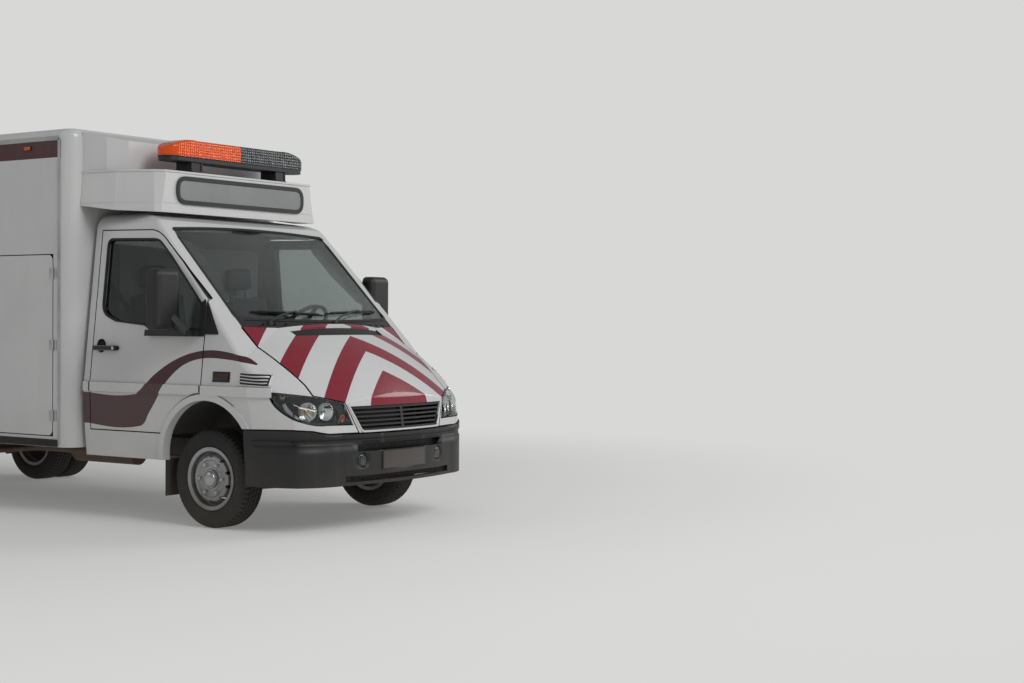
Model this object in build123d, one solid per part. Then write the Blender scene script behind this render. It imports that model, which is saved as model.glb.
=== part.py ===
from build123d import *
import math
import os

os.makedirs("parts", exist_ok=True)

# A box-bodied ambulance on a van chassis cab, in millimetres.
# Drawn from the front axle: X forwards, Y to the left, Z up from the ground.
# Every piece is moved forwards by origin_shift when it is written, so that
# the origin lies on the ground under the middle of the vehicle.

# Driving dimensions
wheelbase = 3550
nose_x = 917
tail_x = -5027
origin_shift = -(nose_x + tail_x) / 2

tyre_radius = 327
tyre_width = 195
front_track = 1630
rear_track = 1530
twin_spacing = 216
kingpin_y = 690
rear_axle_x = -wheelbase

cab_rear_x = -1150
cab_wall = 55
belt_z = 950
cab_half_width = 966
roof_top_z = 2150
cowl_z = 1348
hood_axis_z = -700
door_gap = 8
hood_gap = 8

box_front_x = -1190
box_rear_x = -4900
box_half_width = 1060
box_bottom_z = 480
box_top_z = 2695
box_wall = 40
box_floor_z = 690
box_corner_radius = 110
post_end_x = -1300
cant_z = 2630

tow_spacing_y = 160
tow_spacing_z = 56
tow_centre_z = 480
tow_hole_radius = 6.5
frame_bottom_z = 420
frame_top_z = 540
rail_inner_y = 400
rail_outer_y = 460


def write(name, shape):
    # One file for each piece, in the vehicle's own frame.
    placed = Pos(origin_shift, 0, 0) * shape
    export_step(placed, f"parts/{name}.step")


def mirrored(shape):
    return shape.mirror(Plane.XZ)


def face_of(outline):
    # A flat face bounded by lines and arcs that meet end to end.
    return make_face([edge for piece in outline for edge in piece.edges()])


def block(x0, x1, y0, y1, z0, z1):
    return Pos((x0 + x1) / 2, (y0 + y1) / 2, (z0 + z1) / 2) * Box(x1 - x0, y1 - y0, z1 - z0)


def side_prism(points, y0, y1):
    # An outline in X and Z, solid from y0 to y1.
    face = make_face(Polyline(*[(x, 0, z) for x, z in points], close=True))
    return Pos(0, y0, 0) * extrude(face, amount=y1 - y0, dir=(0, 1, 0))


def front_prism(points, x0, x1):
    # An outline in Y and Z, solid from x0 to x1.
    face = make_face(Polyline(*[(0, y, z) for y, z in points], close=True))
    return Pos(x0, 0, 0) * extrude(face, amount=x1 - x0, dir=(1, 0, 0))


def plan_prism(points, z0, z1):
    # An outline in X and Y, solid from z0 to z1.
    face = make_face(Polyline(*[(x, y, 0) for x, y in points], close=True))
    return Pos(0, 0, z0) * extrude(face, amount=z1 - z0, dir=(0, 0, 1))


def cross_cylinder(x, z, radius, y0, y1):
    return Pos(x, (y0 + y1) / 2, z) * Rot(90, 0, 0) * Cylinder(radius, abs(y1 - y0))


# Cab body
# Half width of the cab side at each height, from the sill to the gutter.
side_rows = [
    (200, 930), (430, 940), (620, 958), (870, cab_half_width), (belt_z, cab_half_width), (2000, 850),
]


def cab_front_view(inset):
    right = [(0, -(y - inset), z) for z, y in side_rows]
    left = [(0, y - inset, z) for z, y in reversed(side_rows)]
    gutter_y = side_rows[-1][1] - inset
    gutter_z = side_rows[-1][0]
    bend_y = 824 - inset
    bend_z = 2062 - inset
    edge_y = 745 - inset
    edge_z = 2104 - inset
    top_z = roof_top_z - inset
    outline = [
        Polyline(*right),
        ThreePointArc((0, -gutter_y, gutter_z), (0, -bend_y, bend_z), (0, -edge_y, edge_z)),
        ThreePointArc((0, -edge_y, edge_z), (0, 0, top_z), (0, edge_y, edge_z)),
        ThreePointArc((0, edge_y, edge_z), (0, bend_y, bend_z), (0, gutter_y, gutter_z)),
        Polyline(*left),
        Line(left[-1], right[0]),
    ]
    face = face_of(outline)
    return Pos(cab_rear_x + inset, 0, 0) * extrude(face, amount=2200, dir=(1, 0, 0))


def nose_plan(z, shift, inset):
    # The nose seen from above: cheek, corner and front arcs.
    back = cab_rear_x - 100
    cheek = (200, 985 - inset)
    cheek_mid = (480 + shift / 2 - inset / 3, 946 - inset)
    corner = (690 + shift - inset * 0.6, 868 - inset * 0.8)
    corner_mid = (775 + shift - inset * 0.8, 760 - inset * 0.6)
    brow = (820 + shift - inset, 600 - inset * 0.3)
    front = (885 + shift - inset, 0)

    def at(point, sign=1):
        return (point[0], sign * point[1], z)

    outline = [
        Line((back, -cheek[1], z), at(cheek, -1)),
        ThreePointArc(at(cheek, -1), at(cheek_mid, -1), at(corner, -1)),
        ThreePointArc(at(corner, -1), at(corner_mid, -1), at(brow, -1)),
        ThreePointArc(at(brow, -1), at(front), at(brow)),
        ThreePointArc(at(brow), at(corner_mid), at(corner)),
        ThreePointArc(at(corner), at(cheek_mid), at(cheek)),
        Line(at(cheek), (back, cheek[1], z)),
        Line((back, cheek[1], z), (back, -cheek[1], z)),
    ]
    return face_of(outline)


def nose_volume(inset):
    # The nose leans back as it rises.
    low_z = 250
    high_z = 1500
    lean = 0.142
    low = nose_plan(low_z, (813 - low_z) * lean, inset)
    high = nose_plan(high_z, (813 - high_z) * lean, inset)
    back = block(cab_rear_x - 100, 150, -1100, 1100, low_z, 2300)
    return loft([low, high], ruled=True) + back


def hood_fan(inset, cap):
    # The hood's centre line turned about a low axis gives its crown.
    back_x = 60 - inset
    back_z = 1500 - inset * 1.2
    root = (306 - inset * 0.6, 1348 - inset * 1.2)
    mid = (600 - inset * 0.6, 1143 - inset * 1.2)
    lip = (862 - inset, 894 - inset)
    outline = [
        Line((cab_rear_x - 100, 0, hood_axis_z), (cab_rear_x - 100, 0, back_z)),
        Line((cab_rear_x - 100, 0, back_z), (back_x, 0, back_z)),
        Line((back_x, 0, back_z), (root[0], 0, root[1])),
        ThreePointArc((root[0], 0, root[1]), (mid[0], 0, mid[1]), (lip[0], 0, lip[1])),
        Line((lip[0], 0, lip[1]), (lip[0] + 45, 0, lip[1] - 80)),
        Line((lip[0] + 45, 0, lip[1] - 80), (1000, 0, 600)),
        Line((1000, 0, 600), (1000, 0, hood_axis_z)),
        Line((1000, 0, hood_axis_z), (cab_rear_x - 100, 0, hood_axis_z)),
    ]
    face = face_of(outline)
    axis = Axis((0, 0, hood_axis_z), (1, 0, 0))
    fan = revolve(face, axis, 90) + revolve(face, axis, -90)
    return fan & block(cab_rear_x - 50, 990, -1100, 1100, 200, cap - inset)


def screen_section(z, inset):
    # The windscreen's arc at height z: flatter and further back as it rises.
    run = 1.1505
    centre_x = 252 - run * (z - 1361) - inset * 1.52
    bow = (120 - 100 * (z - 1361) / 658) * (1000 / 787) ** 2
    back = cab_rear_x - 50
    outline = [
        ThreePointArc((centre_x - bow, -1000, z), (centre_x, 0, z), (centre_x - bow, 1000, z)),
        Line((centre_x - bow, 1000, z), (back, 1000, z)),
        Line((back, 1000, z), (back, -1000, z)),
        Line((back, -1000, z), (centre_x - bow, -1000, z)),
    ]
    return face_of(outline)


def upper_cab(inset):
    # Screen, pillars and roof: their planes run down into the fenders.
    glazed = loft([screen_section(1100, inset), screen_section(2110, inset)], ruled=True)
    glazed = glazed + block(cab_rear_x - 50, -700 - inset, -1000, 1000, 2000, 2300)
    roof_line = [
        (cab_rear_x - 50, 600),
        (cab_rear_x - 50, 2145 - inset),
        (-900, 2120 - inset),
        (-650, 2083 - inset),
        (-532, 2044 - inset),
        (600, 2044 - inset),
        (600, 600),
    ]
    return glazed & side_prism(roof_line, -1100, 1100) & cab_front_view(inset)


def lower_cab(inset, cap):
    return hood_fan(inset, cap) & nose_volume(inset) & cab_front_view(inset)


def cab_volume(inset, cap=cowl_z):
    return lower_cab(inset, cap) + upper_cab(inset)


def edges_near(shape, places):
    # The edges whose middles lie by the given places, on either side of the vehicle.
    reach = 45
    found = []
    for edge in shape.edges():
        middle = edge.center()
        for x, y, z in places:
            if max(abs(middle.X - x), abs(abs(middle.Y) - y), abs(middle.Z - z)) < reach:
                found.append(edge)
    return found


def rounded_cab():
    # The outer skin, with its pressed edges rounded.
    roof_and_pillars = [(-535, 0, 2045), (-536, 844, 2028), (-89, 899, 1555)]
    shoulder = [(365, 952, 1072), (557, 918, 937)]
    hood_lip = [(782, 750, 802), (844, 447, 851), (877, 0, 867)]
    upper = upper_cab(0)
    upper = upper.fillet(30, edges_near(upper, roof_and_pillars))
    lower = lower_cab(0, cowl_z)
    lower = lower.fillet(36, edges_near(lower, shoulder))
    lower = lower.fillet(18, edges_near(lower, hood_lip))
    return lower + upper


def outline_prism(face, axis, low, high):
    # A flat outline swept along X, Y or Z between two stations.
    direction = {"X": (1, 0, 0), "Y": (0, 1, 0), "Z": (0, 0, 1)}[axis]
    start = Pos(*[low * part for part in direction])
    return start * extrude(face, amount=high - low, dir=direction)


skin = rounded_cab()
lining = cab_volume(cab_wall)
hood_lining = cab_volume(30)
rabbet = cab_volume(20)
trim_skin = cab_volume(-12)
cab_wall_solid = skin - lining

# Wheel arch
arch_x = 15
arch_z = 440
arch_radius = 405
lip_radius = 452
sill_seam_z = 617
sill_bottom_z = 432
door_rear_x = -1086
door_front_x = -30

# Door outline in X and Z
arch_drop = lip_radius + 3
door_toe_z = arch_z + math.sqrt(arch_drop**2 - (door_front_x - arch_x) ** 2)
door_heel_x = arch_x - math.sqrt(arch_drop**2 - (sill_seam_z - arch_z) ** 2)
door_arc_x = arch_x - arch_drop * math.sin(math.radians(38))
door_arc_z = arch_z + arch_drop * math.cos(math.radians(38))
door_face = face_of([
    Polyline(
        (door_heel_x, 0, sill_seam_z), (door_rear_x, 0, sill_seam_z), (door_rear_x, 0, 1986), (-600, 0, 1978),
    ),
    ThreePointArc((-600, 0, 1978), (-522, 0, 1956), (-466, 0, 1919)),
    Polyline((-466, 0, 1919), (-283, 0, 1752), (-42, 0, 1510), (door_front_x, 0, 1470)),
    Line((door_front_x, 0, 1470), (door_front_x, 0, door_toe_z)),
    ThreePointArc((door_front_x, 0, door_toe_z), (door_arc_x, 0, door_arc_z), (door_heel_x, 0, sill_seam_z)),
])
window_points = [
    (-1022, 1926), (-527, 1916), (-395, 1800), (-76, 1478), (-76, 1306),
    (-545, 1309), (-592, 1338), (-880, 1363), (-1022, 1415),
]
window_face = make_face(Polyline(*[(x, 0, z) for x, z in window_points], close=True))
window_rear_x = -1022
window_face = fillet([v for v in window_face.vertices() if v.X == window_rear_x and v.Z < 1500], 75)
window_face = fillet([v for v in window_face.vertices() if v.Z > 1900], 46)
window_face = fillet([v for v in window_face.vertices() if v.X > -600 and v.Z < 1900], 20)
door_opening = offset(door_face, door_gap, kind=Kind.INTERSECTION)
door_core = offset(door_face, -20, kind=Kind.INTERSECTION)
moulding_low_z = 878
moulding_high_z = 942


def make_door():
    # The right-hand door: a full outer skin over a smaller inner frame.
    body = outline_prism(door_face, "Y", -1100, -600) & cab_wall_solid
    edge = outline_prism(door_face, "Y", -1100, -600) - outline_prism(door_core, "Y", -1200, -500)
    body = body - (edge & rabbet)
    body = body - outline_prism(window_face, "Y", -1200, -500)
    strip = block(door_rear_x + 4, door_front_x - 6, -1100, -600, moulding_low_z, moulding_high_z)
    strip = (trim_skin - rabbet) & strip
    strip = strip - cross_cylinder(arch_x, arch_z, lip_radius + door_gap, -1100, -600)
    # A cupped hollow for the hand behind the grip.
    hollow = Pos(-1005, -980, 1192) * Sphere(62)
    grip = block(-1058, -838, -975, -930, 1160, 1190)
    grip = fillet(grip.edges().filter_by(Axis.Z), 12)
    return (body - hollow) + strip + grip


def make_door_glass():
    pane = outline_prism(offset(window_face, -1), "Y", -1100, -600) & cab_volume(18)
    return pane - cab_volume(23)


# Hood, lamps and grille seen from the front and from above
# Half width of the hood at stations from behind the rear corner to the lamp.
hood_corner = (165, 790)
hood_edge_rows = [(310, 778), (466, 750), (600, 720), (650, 710), (1100, 710)]
hood_rear_x = 300


def hood_plan(grow):
    # The rear corners and the sides stand off further, for the swing of the lifted hood.
    left = [(hood_corner[0] - grow, hood_corner[1] + 2 * grow, 0)]
    left = left + [(x, y + 1.5 * grow, 0) for x, y in hood_edge_rows]
    right = [(x, -y, z) for x, y, z in reversed(left)]
    return face_of([
        ThreePointArc(right[-1], (hood_rear_x - grow, 0, 0), left[0]),
        Polyline(*left),
        Line(left[-1], right[0]),
        Polyline(*right),
    ])


def arc_band(rear, front):
    # A band seen from above, between two arcs given by their end and middle.
    (rear_x, rear_y, rear_mid), (front_x, front_y, front_mid) = rear, front
    return face_of([
        ThreePointArc((rear_x, -rear_y, 0), (rear_mid, 0, 0), (rear_x, rear_y, 0)),
        Line((rear_x, rear_y, 0), (front_x, front_y, 0)),
        ThreePointArc((front_x, front_y, 0), (front_mid, 0, 0), (front_x, -front_y, 0)),
        Line((front_x, -front_y, 0), (rear_x, -rear_y, 0)),
    ])


# End x, end y and middle x of the arcs that bound the cowl and the hood's air inlet.
cowl_rear = (108, 787, 246)
cowl_front = (185, 787, 320)
trough_floor_z = 1235
inlet_rear = (284, 468, 332)
inlet_front = (352, 456, 424)


hood_lip_z = 640
hood_front_points = [
    (-1100, 1500), (-1100, 890), (-720, 890), (-525, 842), (-432, hood_lip_z),
    (432, hood_lip_z), (525, 842), (720, 890), (1100, 890), (1100, 1500),
]
hood_front = make_face(Polyline(*[(0, y, z) for y, z in hood_front_points], close=True))
lamp_front = face_of([
    Polyline((0, -925, 912), (0, -720, 884), (0, -531, 838), (0, -474, 694), (0, -690, 698)),
    ThreePointArc((0, -690, 698), (0, -792, 706), (0, -870, 738)),
    ThreePointArc((0, -870, 738), (0, -912, 812), (0, -925, 912)),
])
grille_low_half = 395
grille_high_half = 492
grille_low_z = 655
grille_high_z = 815
grille_points = [
    (-grille_high_half, grille_high_z), (-grille_low_half, grille_low_z),
    (grille_low_half, grille_low_z), (grille_high_half, grille_high_z),
]
grille_front = make_face(Polyline(*[(0, y, z) for y, z in grille_points], close=True))
screen_front = face_of([
    ThreePointArc((0, -787, 1379), (0, 0, 1363), (0, 787, 1379)),
    Line((0, 787, 1379), (0, 772, 1996)),
    ThreePointArc((0, 772, 1996), (0, 0, 2019), (0, -772, 1996)),
    Line((0, -772, 1996), (0, -787, 1379)),
])
screen_front = fillet(screen_front.vertices(), 60)


def hood_region(grow):
    plan = outline_prism(hood_plan(grow), "Z", 500, 1500)
    front = outline_prism(offset(hood_front, grow, kind=Kind.INTERSECTION), "X", 100, 1100)
    return plan & front


def make_hood():
    panel = (skin - hood_lining) & hood_region(-hood_gap / 2)
    panel = panel - outline_prism(arc_band(inlet_rear, inlet_front), "Z", 1100, 1500)
    return panel - outline_prism(grille_front, "X", 700, 1100)


def make_hood_inlet():
    # The slatted air inlet across the back of the hood.
    panel = outline_prism(offset(arc_band(inlet_rear, inlet_front), -1), "Z", 1100, 1500)
    panel = (cab_volume(7) - cab_volume(25)) & panel
    slots = 4
    slot_half_width = 436
    depth_end = inlet_front[0] - inlet_rear[0]
    depth_middle = inlet_front[2] - inlet_rear[2]
    for row in range(slots):
        low = (row + 0.45) / slots
        high = (row + 0.95) / slots - 0.05
        rear = (inlet_rear[0] + depth_end * low, slot_half_width, inlet_rear[2] + depth_middle * low)
        front = (inlet_rear[0] + depth_end * high, slot_half_width, inlet_rear[2] + depth_middle * high)
        panel = panel - outline_prism(arc_band(rear, front), "Z", 1100, 1500)
    return panel


def make_cowl():
    # The tray between the hood and the windscreen, with its air slots.
    glass_gap = 6
    hood_clearance = 9
    half_width = cowl_rear[1] - 2
    rear = (cowl_rear[0] + glass_gap, half_width, cowl_rear[2] + glass_gap)
    front = (hood_corner[0] - hood_clearance, half_width, hood_rear_x - hood_clearance)
    panel = (cab_volume(4) - cab_volume(22)) & outline_prism(arc_band(rear, front), "Z", trough_floor_z, 1420)
    for number in range(-7, 8):
        y = number * 90
        x = 270 - 118 * (y / cowl_rear[1]) ** 2
        panel = panel - block(x - 10, x + 6, y - 30, y + 30, 1200, 1500)
    return panel


def make_grille():
    # Horizontal bars in a trapezoid frame.
    panel = (cab_volume(8) - cab_volume(34)) & outline_prism(offset(grille_front, -1), "X", 700, 1100)
    spread = (grille_high_half - grille_low_half) / (grille_high_z - grille_low_z)
    bar_pitch = 28
    bar_height = 12
    side_bar = 16
    for row in range(5):
        low_z = grille_low_z + 13 + row * bar_pitch
        high_z = low_z + bar_pitch - bar_height
        low_y = grille_low_half + (low_z - grille_low_z) * spread - side_bar
        high_y = grille_low_half + (high_z - grille_low_z) * spread - side_bar
        for sign in (-1, 1):
            slot = [(12, low_z), (low_y, low_z), (high_y, high_z), (12, high_z)]
            panel = panel - front_prism([(sign * y, z) for y, z in slot], 700, 1100)
    return panel


def make_lamp():
    body = (cab_volume(3) - cab_volume(90)) & outline_prism(offset(lamp_front, -3), "X", 480, 1100)
    return body & block(480, 1100, -1000, -400, 600, 1000)


def make_windscreen():
    pane = outline_prism(offset(screen_front, -2), "X", -620, 330) & cab_volume(3)
    return pane - cab_volume(9)


def make_cab_shell():
    shell = cab_wall_solid
    lips = (cross_cylinder(arch_x, arch_z, lip_radius, -1000, 1000) & (cab_volume(-10) - lining))
    shell = shell + (lips & block(-500, 500, -1000, 1000, 440, 900))
    band = block(door_front_x + door_gap, 560, -1000, 1000, moulding_low_z, moulding_high_z)
    post_band = block(cab_rear_x, door_rear_x - door_gap, -1000, 1000, moulding_low_z, moulding_high_z)
    shell = shell + ((trim_skin - lining) & (band + post_band))
    for sign in (-1, 1):
        low, high = sorted((sign * 600, sign * 1100))
        shell = shell - outline_prism(door_opening, "Y", low, high)
        lamp_cut = outline_prism(offset(lamp_front, 1), "X", 480, 1100)
        shell = shell - (lamp_cut if sign < 0 else mirrored(lamp_cut))
        shell = shell - cross_cylinder(arch_x, arch_z, arch_radius, *sorted((sign * 480, sign * 1100)))
    shell = shell - outline_prism(screen_front, "X", -620, 330)
    shell = shell - hood_region(hood_gap / 2)
    shell = shell - outline_prism(arc_band(cowl_rear, cowl_front), "Z", trough_floor_z, 1420)
    below = [
        (cab_rear_x - 50, 100), (cab_rear_x - 50, sill_bottom_z), (-380, sill_bottom_z), (-380, arch_z),
        (410, arch_z), (330, 672), (520, 676), (700, 677), (785, 669), (832, 648), (1100, 640), (1100, 100),
    ]
    shell = shell - side_prism(below, -1200, 1200)
    return shell - block(cab_rear_x - 50, cab_rear_x + cab_wall + 5, -860, 860, 400, 598)


def make_cab_floor():
    # Floor pan, toe board and the two wheel housings, inside the lining.
    floor = block(cab_rear_x + cab_wall, 130, -900, 900, 600, 625)
    toe_board = block(130, 150, -900, 900, 600, 1230)
    housing = cross_cylinder(0, 400, 455, -905, 905) - cross_cylinder(0, 400, 440, -905, 905)
    housing = housing & block(-460, 150, -905, 905, 610, 900)
    pan = floor + toe_board + housing
    pan = pan - (cross_cylinder(0, 400, 440, -1000, -500) + cross_cylinder(0, 400, 440, 500, 1000))
    pan = pan - block(-440, 130, -499, 499, 626, 860)
    side_walls = (cross_cylinder(0, 400, 455, -505, -490) + cross_cylinder(0, 400, 455, 490, 505))
    pan = pan + (side_walls & block(-460, 150, -905, 905, 600, 900))
    return pan & lining & cab_front_view(cab_wall + 1)


fog_lamp_y = 400
fog_lamp_z = 462
fog_lamp_radius = 50


def make_bumper():
    low_z = 304
    outer = extrude(nose_plan(low_z, 32, 0), amount=380, dir=(0, 0, 1))
    inner = extrude(nose_plan(low_z, 32, 50), amount=380, dir=(0, 0, 1))
    shell = (outer - inner) & cab_front_view(-6)
    edge_line = [
        (352, 664), (520, 667), (700, 668), (785, 660), (832, 638), (920, 631),
        (1100, 621), (1100, 200), (352, 200),
    ]
    shell = shell & side_prism(edge_line, -1100, 1100)
    intake = Pos(900, 0, 545) * Box(200, 900, 50)
    lower_intake = Pos(900, 0, 345) * Box(200, 1100, 40)
    shell = shell - intake - lower_intake
    # Sunk pockets for the fog lamps, each side of the number plate's place.
    for sign in (-1, 1):
        pocket = Pos(915, sign * fog_lamp_y, fog_lamp_z) * Rot(0, 90, 0) * Cylinder(fog_lamp_radius, 90)
        shell = shell - pocket
    # A step along the bumper's upper edge.
    step = extrude(nose_plan(low_z, 32, 0) - nose_plan(low_z, 32, 7), amount=40, dir=(0, 0, 1))
    return shell - Pos(0, 0, 262) * step


def make_mirror():
    # Right-hand mirror: base along the window sill, arm and head.
    base = side_prism([(-550, 1262), (-70, 1262), (-70, 1300), (-540, 1304)], -975, -936)
    foot = block(-190, -90, -1000, -960, 1268, 1300)
    arm_start = Plane((-140, -985, 1284), x_dir=(1, 0, 0), z_dir=(-0.35, -0.6, 0.72))
    arm = Solid.extrude(Face.make_rect(30, 46, arm_start), Vector(-50, -85, 105))
    # The head is flat behind, where the glass sits, and domed in front.
    head = Pos(-230, -1100, 1505) * Box(104, 222, 400)
    head = fillet(head.edges().filter_by(Axis.X), 44)
    head = fillet([e for e in head.edges() if e.center().X > -180], 44)
    head = fillet([e for e in head.edges() if e.center().X < -280], 10)
    head = head - Pos(-284, -1100, 1505) * Box(8, 190, 366)
    return base + foot + arm + head


def make_dashboard():
    outline = [(60, 960), (60, 1296), (-60, 1306), (-215, 1250), (-285, 1150), (-240, 1040), (-120, 960)]
    desk = side_prism(outline, -845, 845)
    cowl = side_prism([(-200, 1240), (-90, 1300), (-110, 1345), (-235, 1295)], 250, 590)
    console = block(-300, 60, -160, 160, 700, 965)
    column = Solid.make_cylinder(32, 150, Plane((-215, 420, 1180), z_dir=(-0.75, 0, 0.66)))
    return (desk + cowl + console + column) & cab_volume(cab_wall + 1)


def make_steering_wheel():
    hub = Plane((-372, 420, 1318), z_dir=(-0.75, 0, 0.66))
    ring = Torus(205, 15)
    pad = Cylinder(62, 40)
    spokes = Box(400, 34, 16) + Pos(0, -100, 0) * Box(40, 200, 16)
    return Location(hub) * (ring + pad + spokes)


def make_seat(y):
    base = block(-930, -560, y - 190, y + 190, 626, 820)
    cushion = fillet(block(-985, -480, y - 245, y + 245, 830, 960).edges(), 40)
    back_line = [(-985, 968), (-850, 968), (-945, 1560), (-1072, 1560)]
    back = fillet(side_prism(back_line, y - 235, y + 235).edges(), 34)
    head = fillet(block(-1070, -965, y - 130, y + 130, 1590, 1760).edges(), 34)
    stem = block(-1024, -1012, y - 60, y - 48, 1540, 1600) + block(-1024, -1012, y + 48, y + 60, 1540, 1600)
    link = block(-975, -900, y - 200, y + 200, 820, 980)
    return base + link + cushion + back + head + stem


# Wheels and axles
def tyre_ring():
    half = tyre_width / 2
    side = [(192, half - 22), (212, half - 18)]
    outline = [
        Line((192, -side[0][1], 0), (212, -side[1][1], 0)),
        ThreePointArc((212, -side[1][1], 0), (258, -half, 0), (300, -half + 7, 0)),
        ThreePointArc((300, -half + 7, 0), (318, -half + 18, 0), (tyre_radius, -half + 34, 0)),
        Line((tyre_radius, -half + 34, 0), (tyre_radius, half - 34, 0)),
        ThreePointArc((tyre_radius, half - 34, 0), (318, half - 18, 0), (300, half - 7, 0)),
        ThreePointArc((300, half - 7, 0), (258, half, 0), (212, side[1][1], 0)),
        Line((212, side[1][1], 0), (192, side[0][1], 0)),
        Line((192, side[0][1], 0), (192, -side[0][1], 0)),
    ]
    return revolve(face_of(outline), Axis.Y, 360)


def rim_shape(disc, holes_radius, hole_size):
    # Barrel and flanges, with a disc given by its own half section.
    barrel = [
        (190, -76), (208, -80), (208, -86), (183, -82), (180, -40), (164, -28), (164, 28), (180, 44),
        (183, 82), (208, 86), (208, 80), (190, 76), (188, 46), (171, 30), (171, -30), (188, -42),
    ]
    shape = revolve(make_face(Polyline(*[(r, y, 0) for r, y in barrel], close=True)), Axis.Y, 360)
    shape = shape + revolve(make_face(Polyline(*[(r, y, 0) for r, y in disc], close=True)), Axis.Y, 360)
    for number in range(10):
        angle = number * 36 + 18
        hole = Rot(0, angle, 0) * Pos(holes_radius, 0, 0) * Rot(90, 0, 0) * Cylinder(hole_size, 200)
        shape = shape - (hole & cross_cylinder(0, 0, 163, -100, 140))
    return shape


front_disc = [
    (165, 10), (165, 22), (150, 74), (141, 82), (126, 82), (118, 74), (60, 74), (60, 64), (122, 64),
    (130, 70), (138, 70), (143, 66), (158, 10),
]
rear_disc = [
    (165, -24), (165, -12), (150, -86), (140, -98), (62, -98), (62, -108), (144, -108), (158, -96),
]
hub_bore = 24.5


def front_rim():
    # Left-hand wheel: the disc bulges outwards, with hub and six studs.
    rim = rim_shape(front_disc, 151, 13)
    hub = cross_cylinder(0, 0, 61, 20, 92)
    drum = cross_cylinder(0, 0, 130, -34, -12) + cross_cylinder(0, 0, 66, -12, 20)
    studs = [Rot(0, 60 * n, 0) * (Pos(102, 0, 0) * cross_cylinder(0, 0, 11, 60, 92)) for n in range(6)]
    shape = rim + hub + drum
    for stud in studs:
        shape = shape + stud
    return shape - cross_cylinder(0, 0, hub_bore, -100, 70)


def rear_rims():
    # Left-hand twin wheels about the middle of the pair, and their hub.
    outer = Pos(0, twin_spacing / 2, 0) * rim_shape(rear_disc, 146, 15)
    inner = Pos(0, -twin_spacing / 2, 0) * mirrored(rim_shape(rear_disc, 146, 15))
    hub = cross_cylinder(0, 0, 64, -150, 62)
    studs = [Rot(0, 60 * n, 0) * (Pos(102, 0, 0) * cross_cylinder(0, 0, 11, -14, 34)) for n in range(6)]
    shape = outer + inner + hub
    for stud in studs:
        shape = shape + stud
    return shape - cross_cylinder(0, 0, 36, -200, 20)


def rear_tyres():
    return Compound(children=[Pos(0, s * twin_spacing / 2, 0) * tyre_ring() for s in (-1, 1)])


def make_knuckle():
    # Left-hand knuckle: upright, spindle, steering arm and strut foot.
    z = tyre_radius
    upright = Pos(0, kingpin_y, 350) * Cylinder(30, 150)
    plate = block(-40, 40, kingpin_y - 60, kingpin_y + 14, 300, 420)
    spindle = cross_cylinder(0, z, 24, kingpin_y, front_track / 2 + 60)
    arm = block(-165, -30, kingpin_y - 62, kingpin_y - 36, 300, 322)
    strut = Pos(0, kingpin_y - 45, 500) * Cylinder(26, 200)
    return upright + plate + spindle + arm + strut


def make_front_axle():
    beam = block(-70, 70, -440, 440, 235, 320)
    beam = fillet(beam.edges().filter_by(Axis.Y), 18)
    for sign in (-1, 1):
        arm = [(-150, sign * 400), (150, sign * 400), (40, sign * 730), (-40, sign * 730)]
        beam = beam + plan_prism(arm, 236, 264)
        beam = beam + block(-40, 40, *sorted((sign * 405, sign * 455)), 300, frame_bottom_z)
    rack = cross_cylinder(-160, 290, 22, -520, 520)
    return beam + rack + block(-170, -60, -60, 60, 270, 310)


def make_front_springs():
    # Spring legs between the knuckles and the wheel housings.
    legs = []
    for sign in (-1, 1):
        leg = Pos(0, sign * (kingpin_y - 45), 725) * Cylinder(50, 210)
        legs.append(leg + Pos(0, sign * (kingpin_y - 45), 833) * Cylinder(34, 10))
    return Compound(children=legs)


def make_rear_axle():
    beam = cross_cylinder(rear_axle_x, tyre_radius, 45, -555, 555)
    case = Pos(rear_axle_x, 0, tyre_radius) * Sphere(135)
    spindle = cross_cylinder(rear_axle_x, tyre_radius, 35, -760, 760)
    nose = Pos(rear_axle_x + 150, 0, tyre_radius + 4) * Rot(0, 90, 0) * Cylinder(60, 160)
    return beam + case + spindle + nose


def make_leaf_springs():
    packs = []
    for sign in (-1, 1):
        span = 640
        outline = face_of([
            ThreePointArc((rear_axle_x - span, 0, 414), (rear_axle_x, 0, 404), (rear_axle_x + span, 0, 414)),
            Line((rear_axle_x + span, 0, 414), (rear_axle_x + span, 0, 396)),
            ThreePointArc((rear_axle_x + span, 0, 396), (rear_axle_x, 0, 374), (rear_axle_x - span, 0, 396)),
            Line((rear_axle_x - span, 0, 396), (rear_axle_x - span, 0, 414)),
        ])
        packs.append(outline_prism(outline, "Y", *sorted((sign * 395, sign * 465))))
    return Compound(children=packs)


frame_tail_x = box_rear_x + 60
frame_front_x = 650


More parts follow.
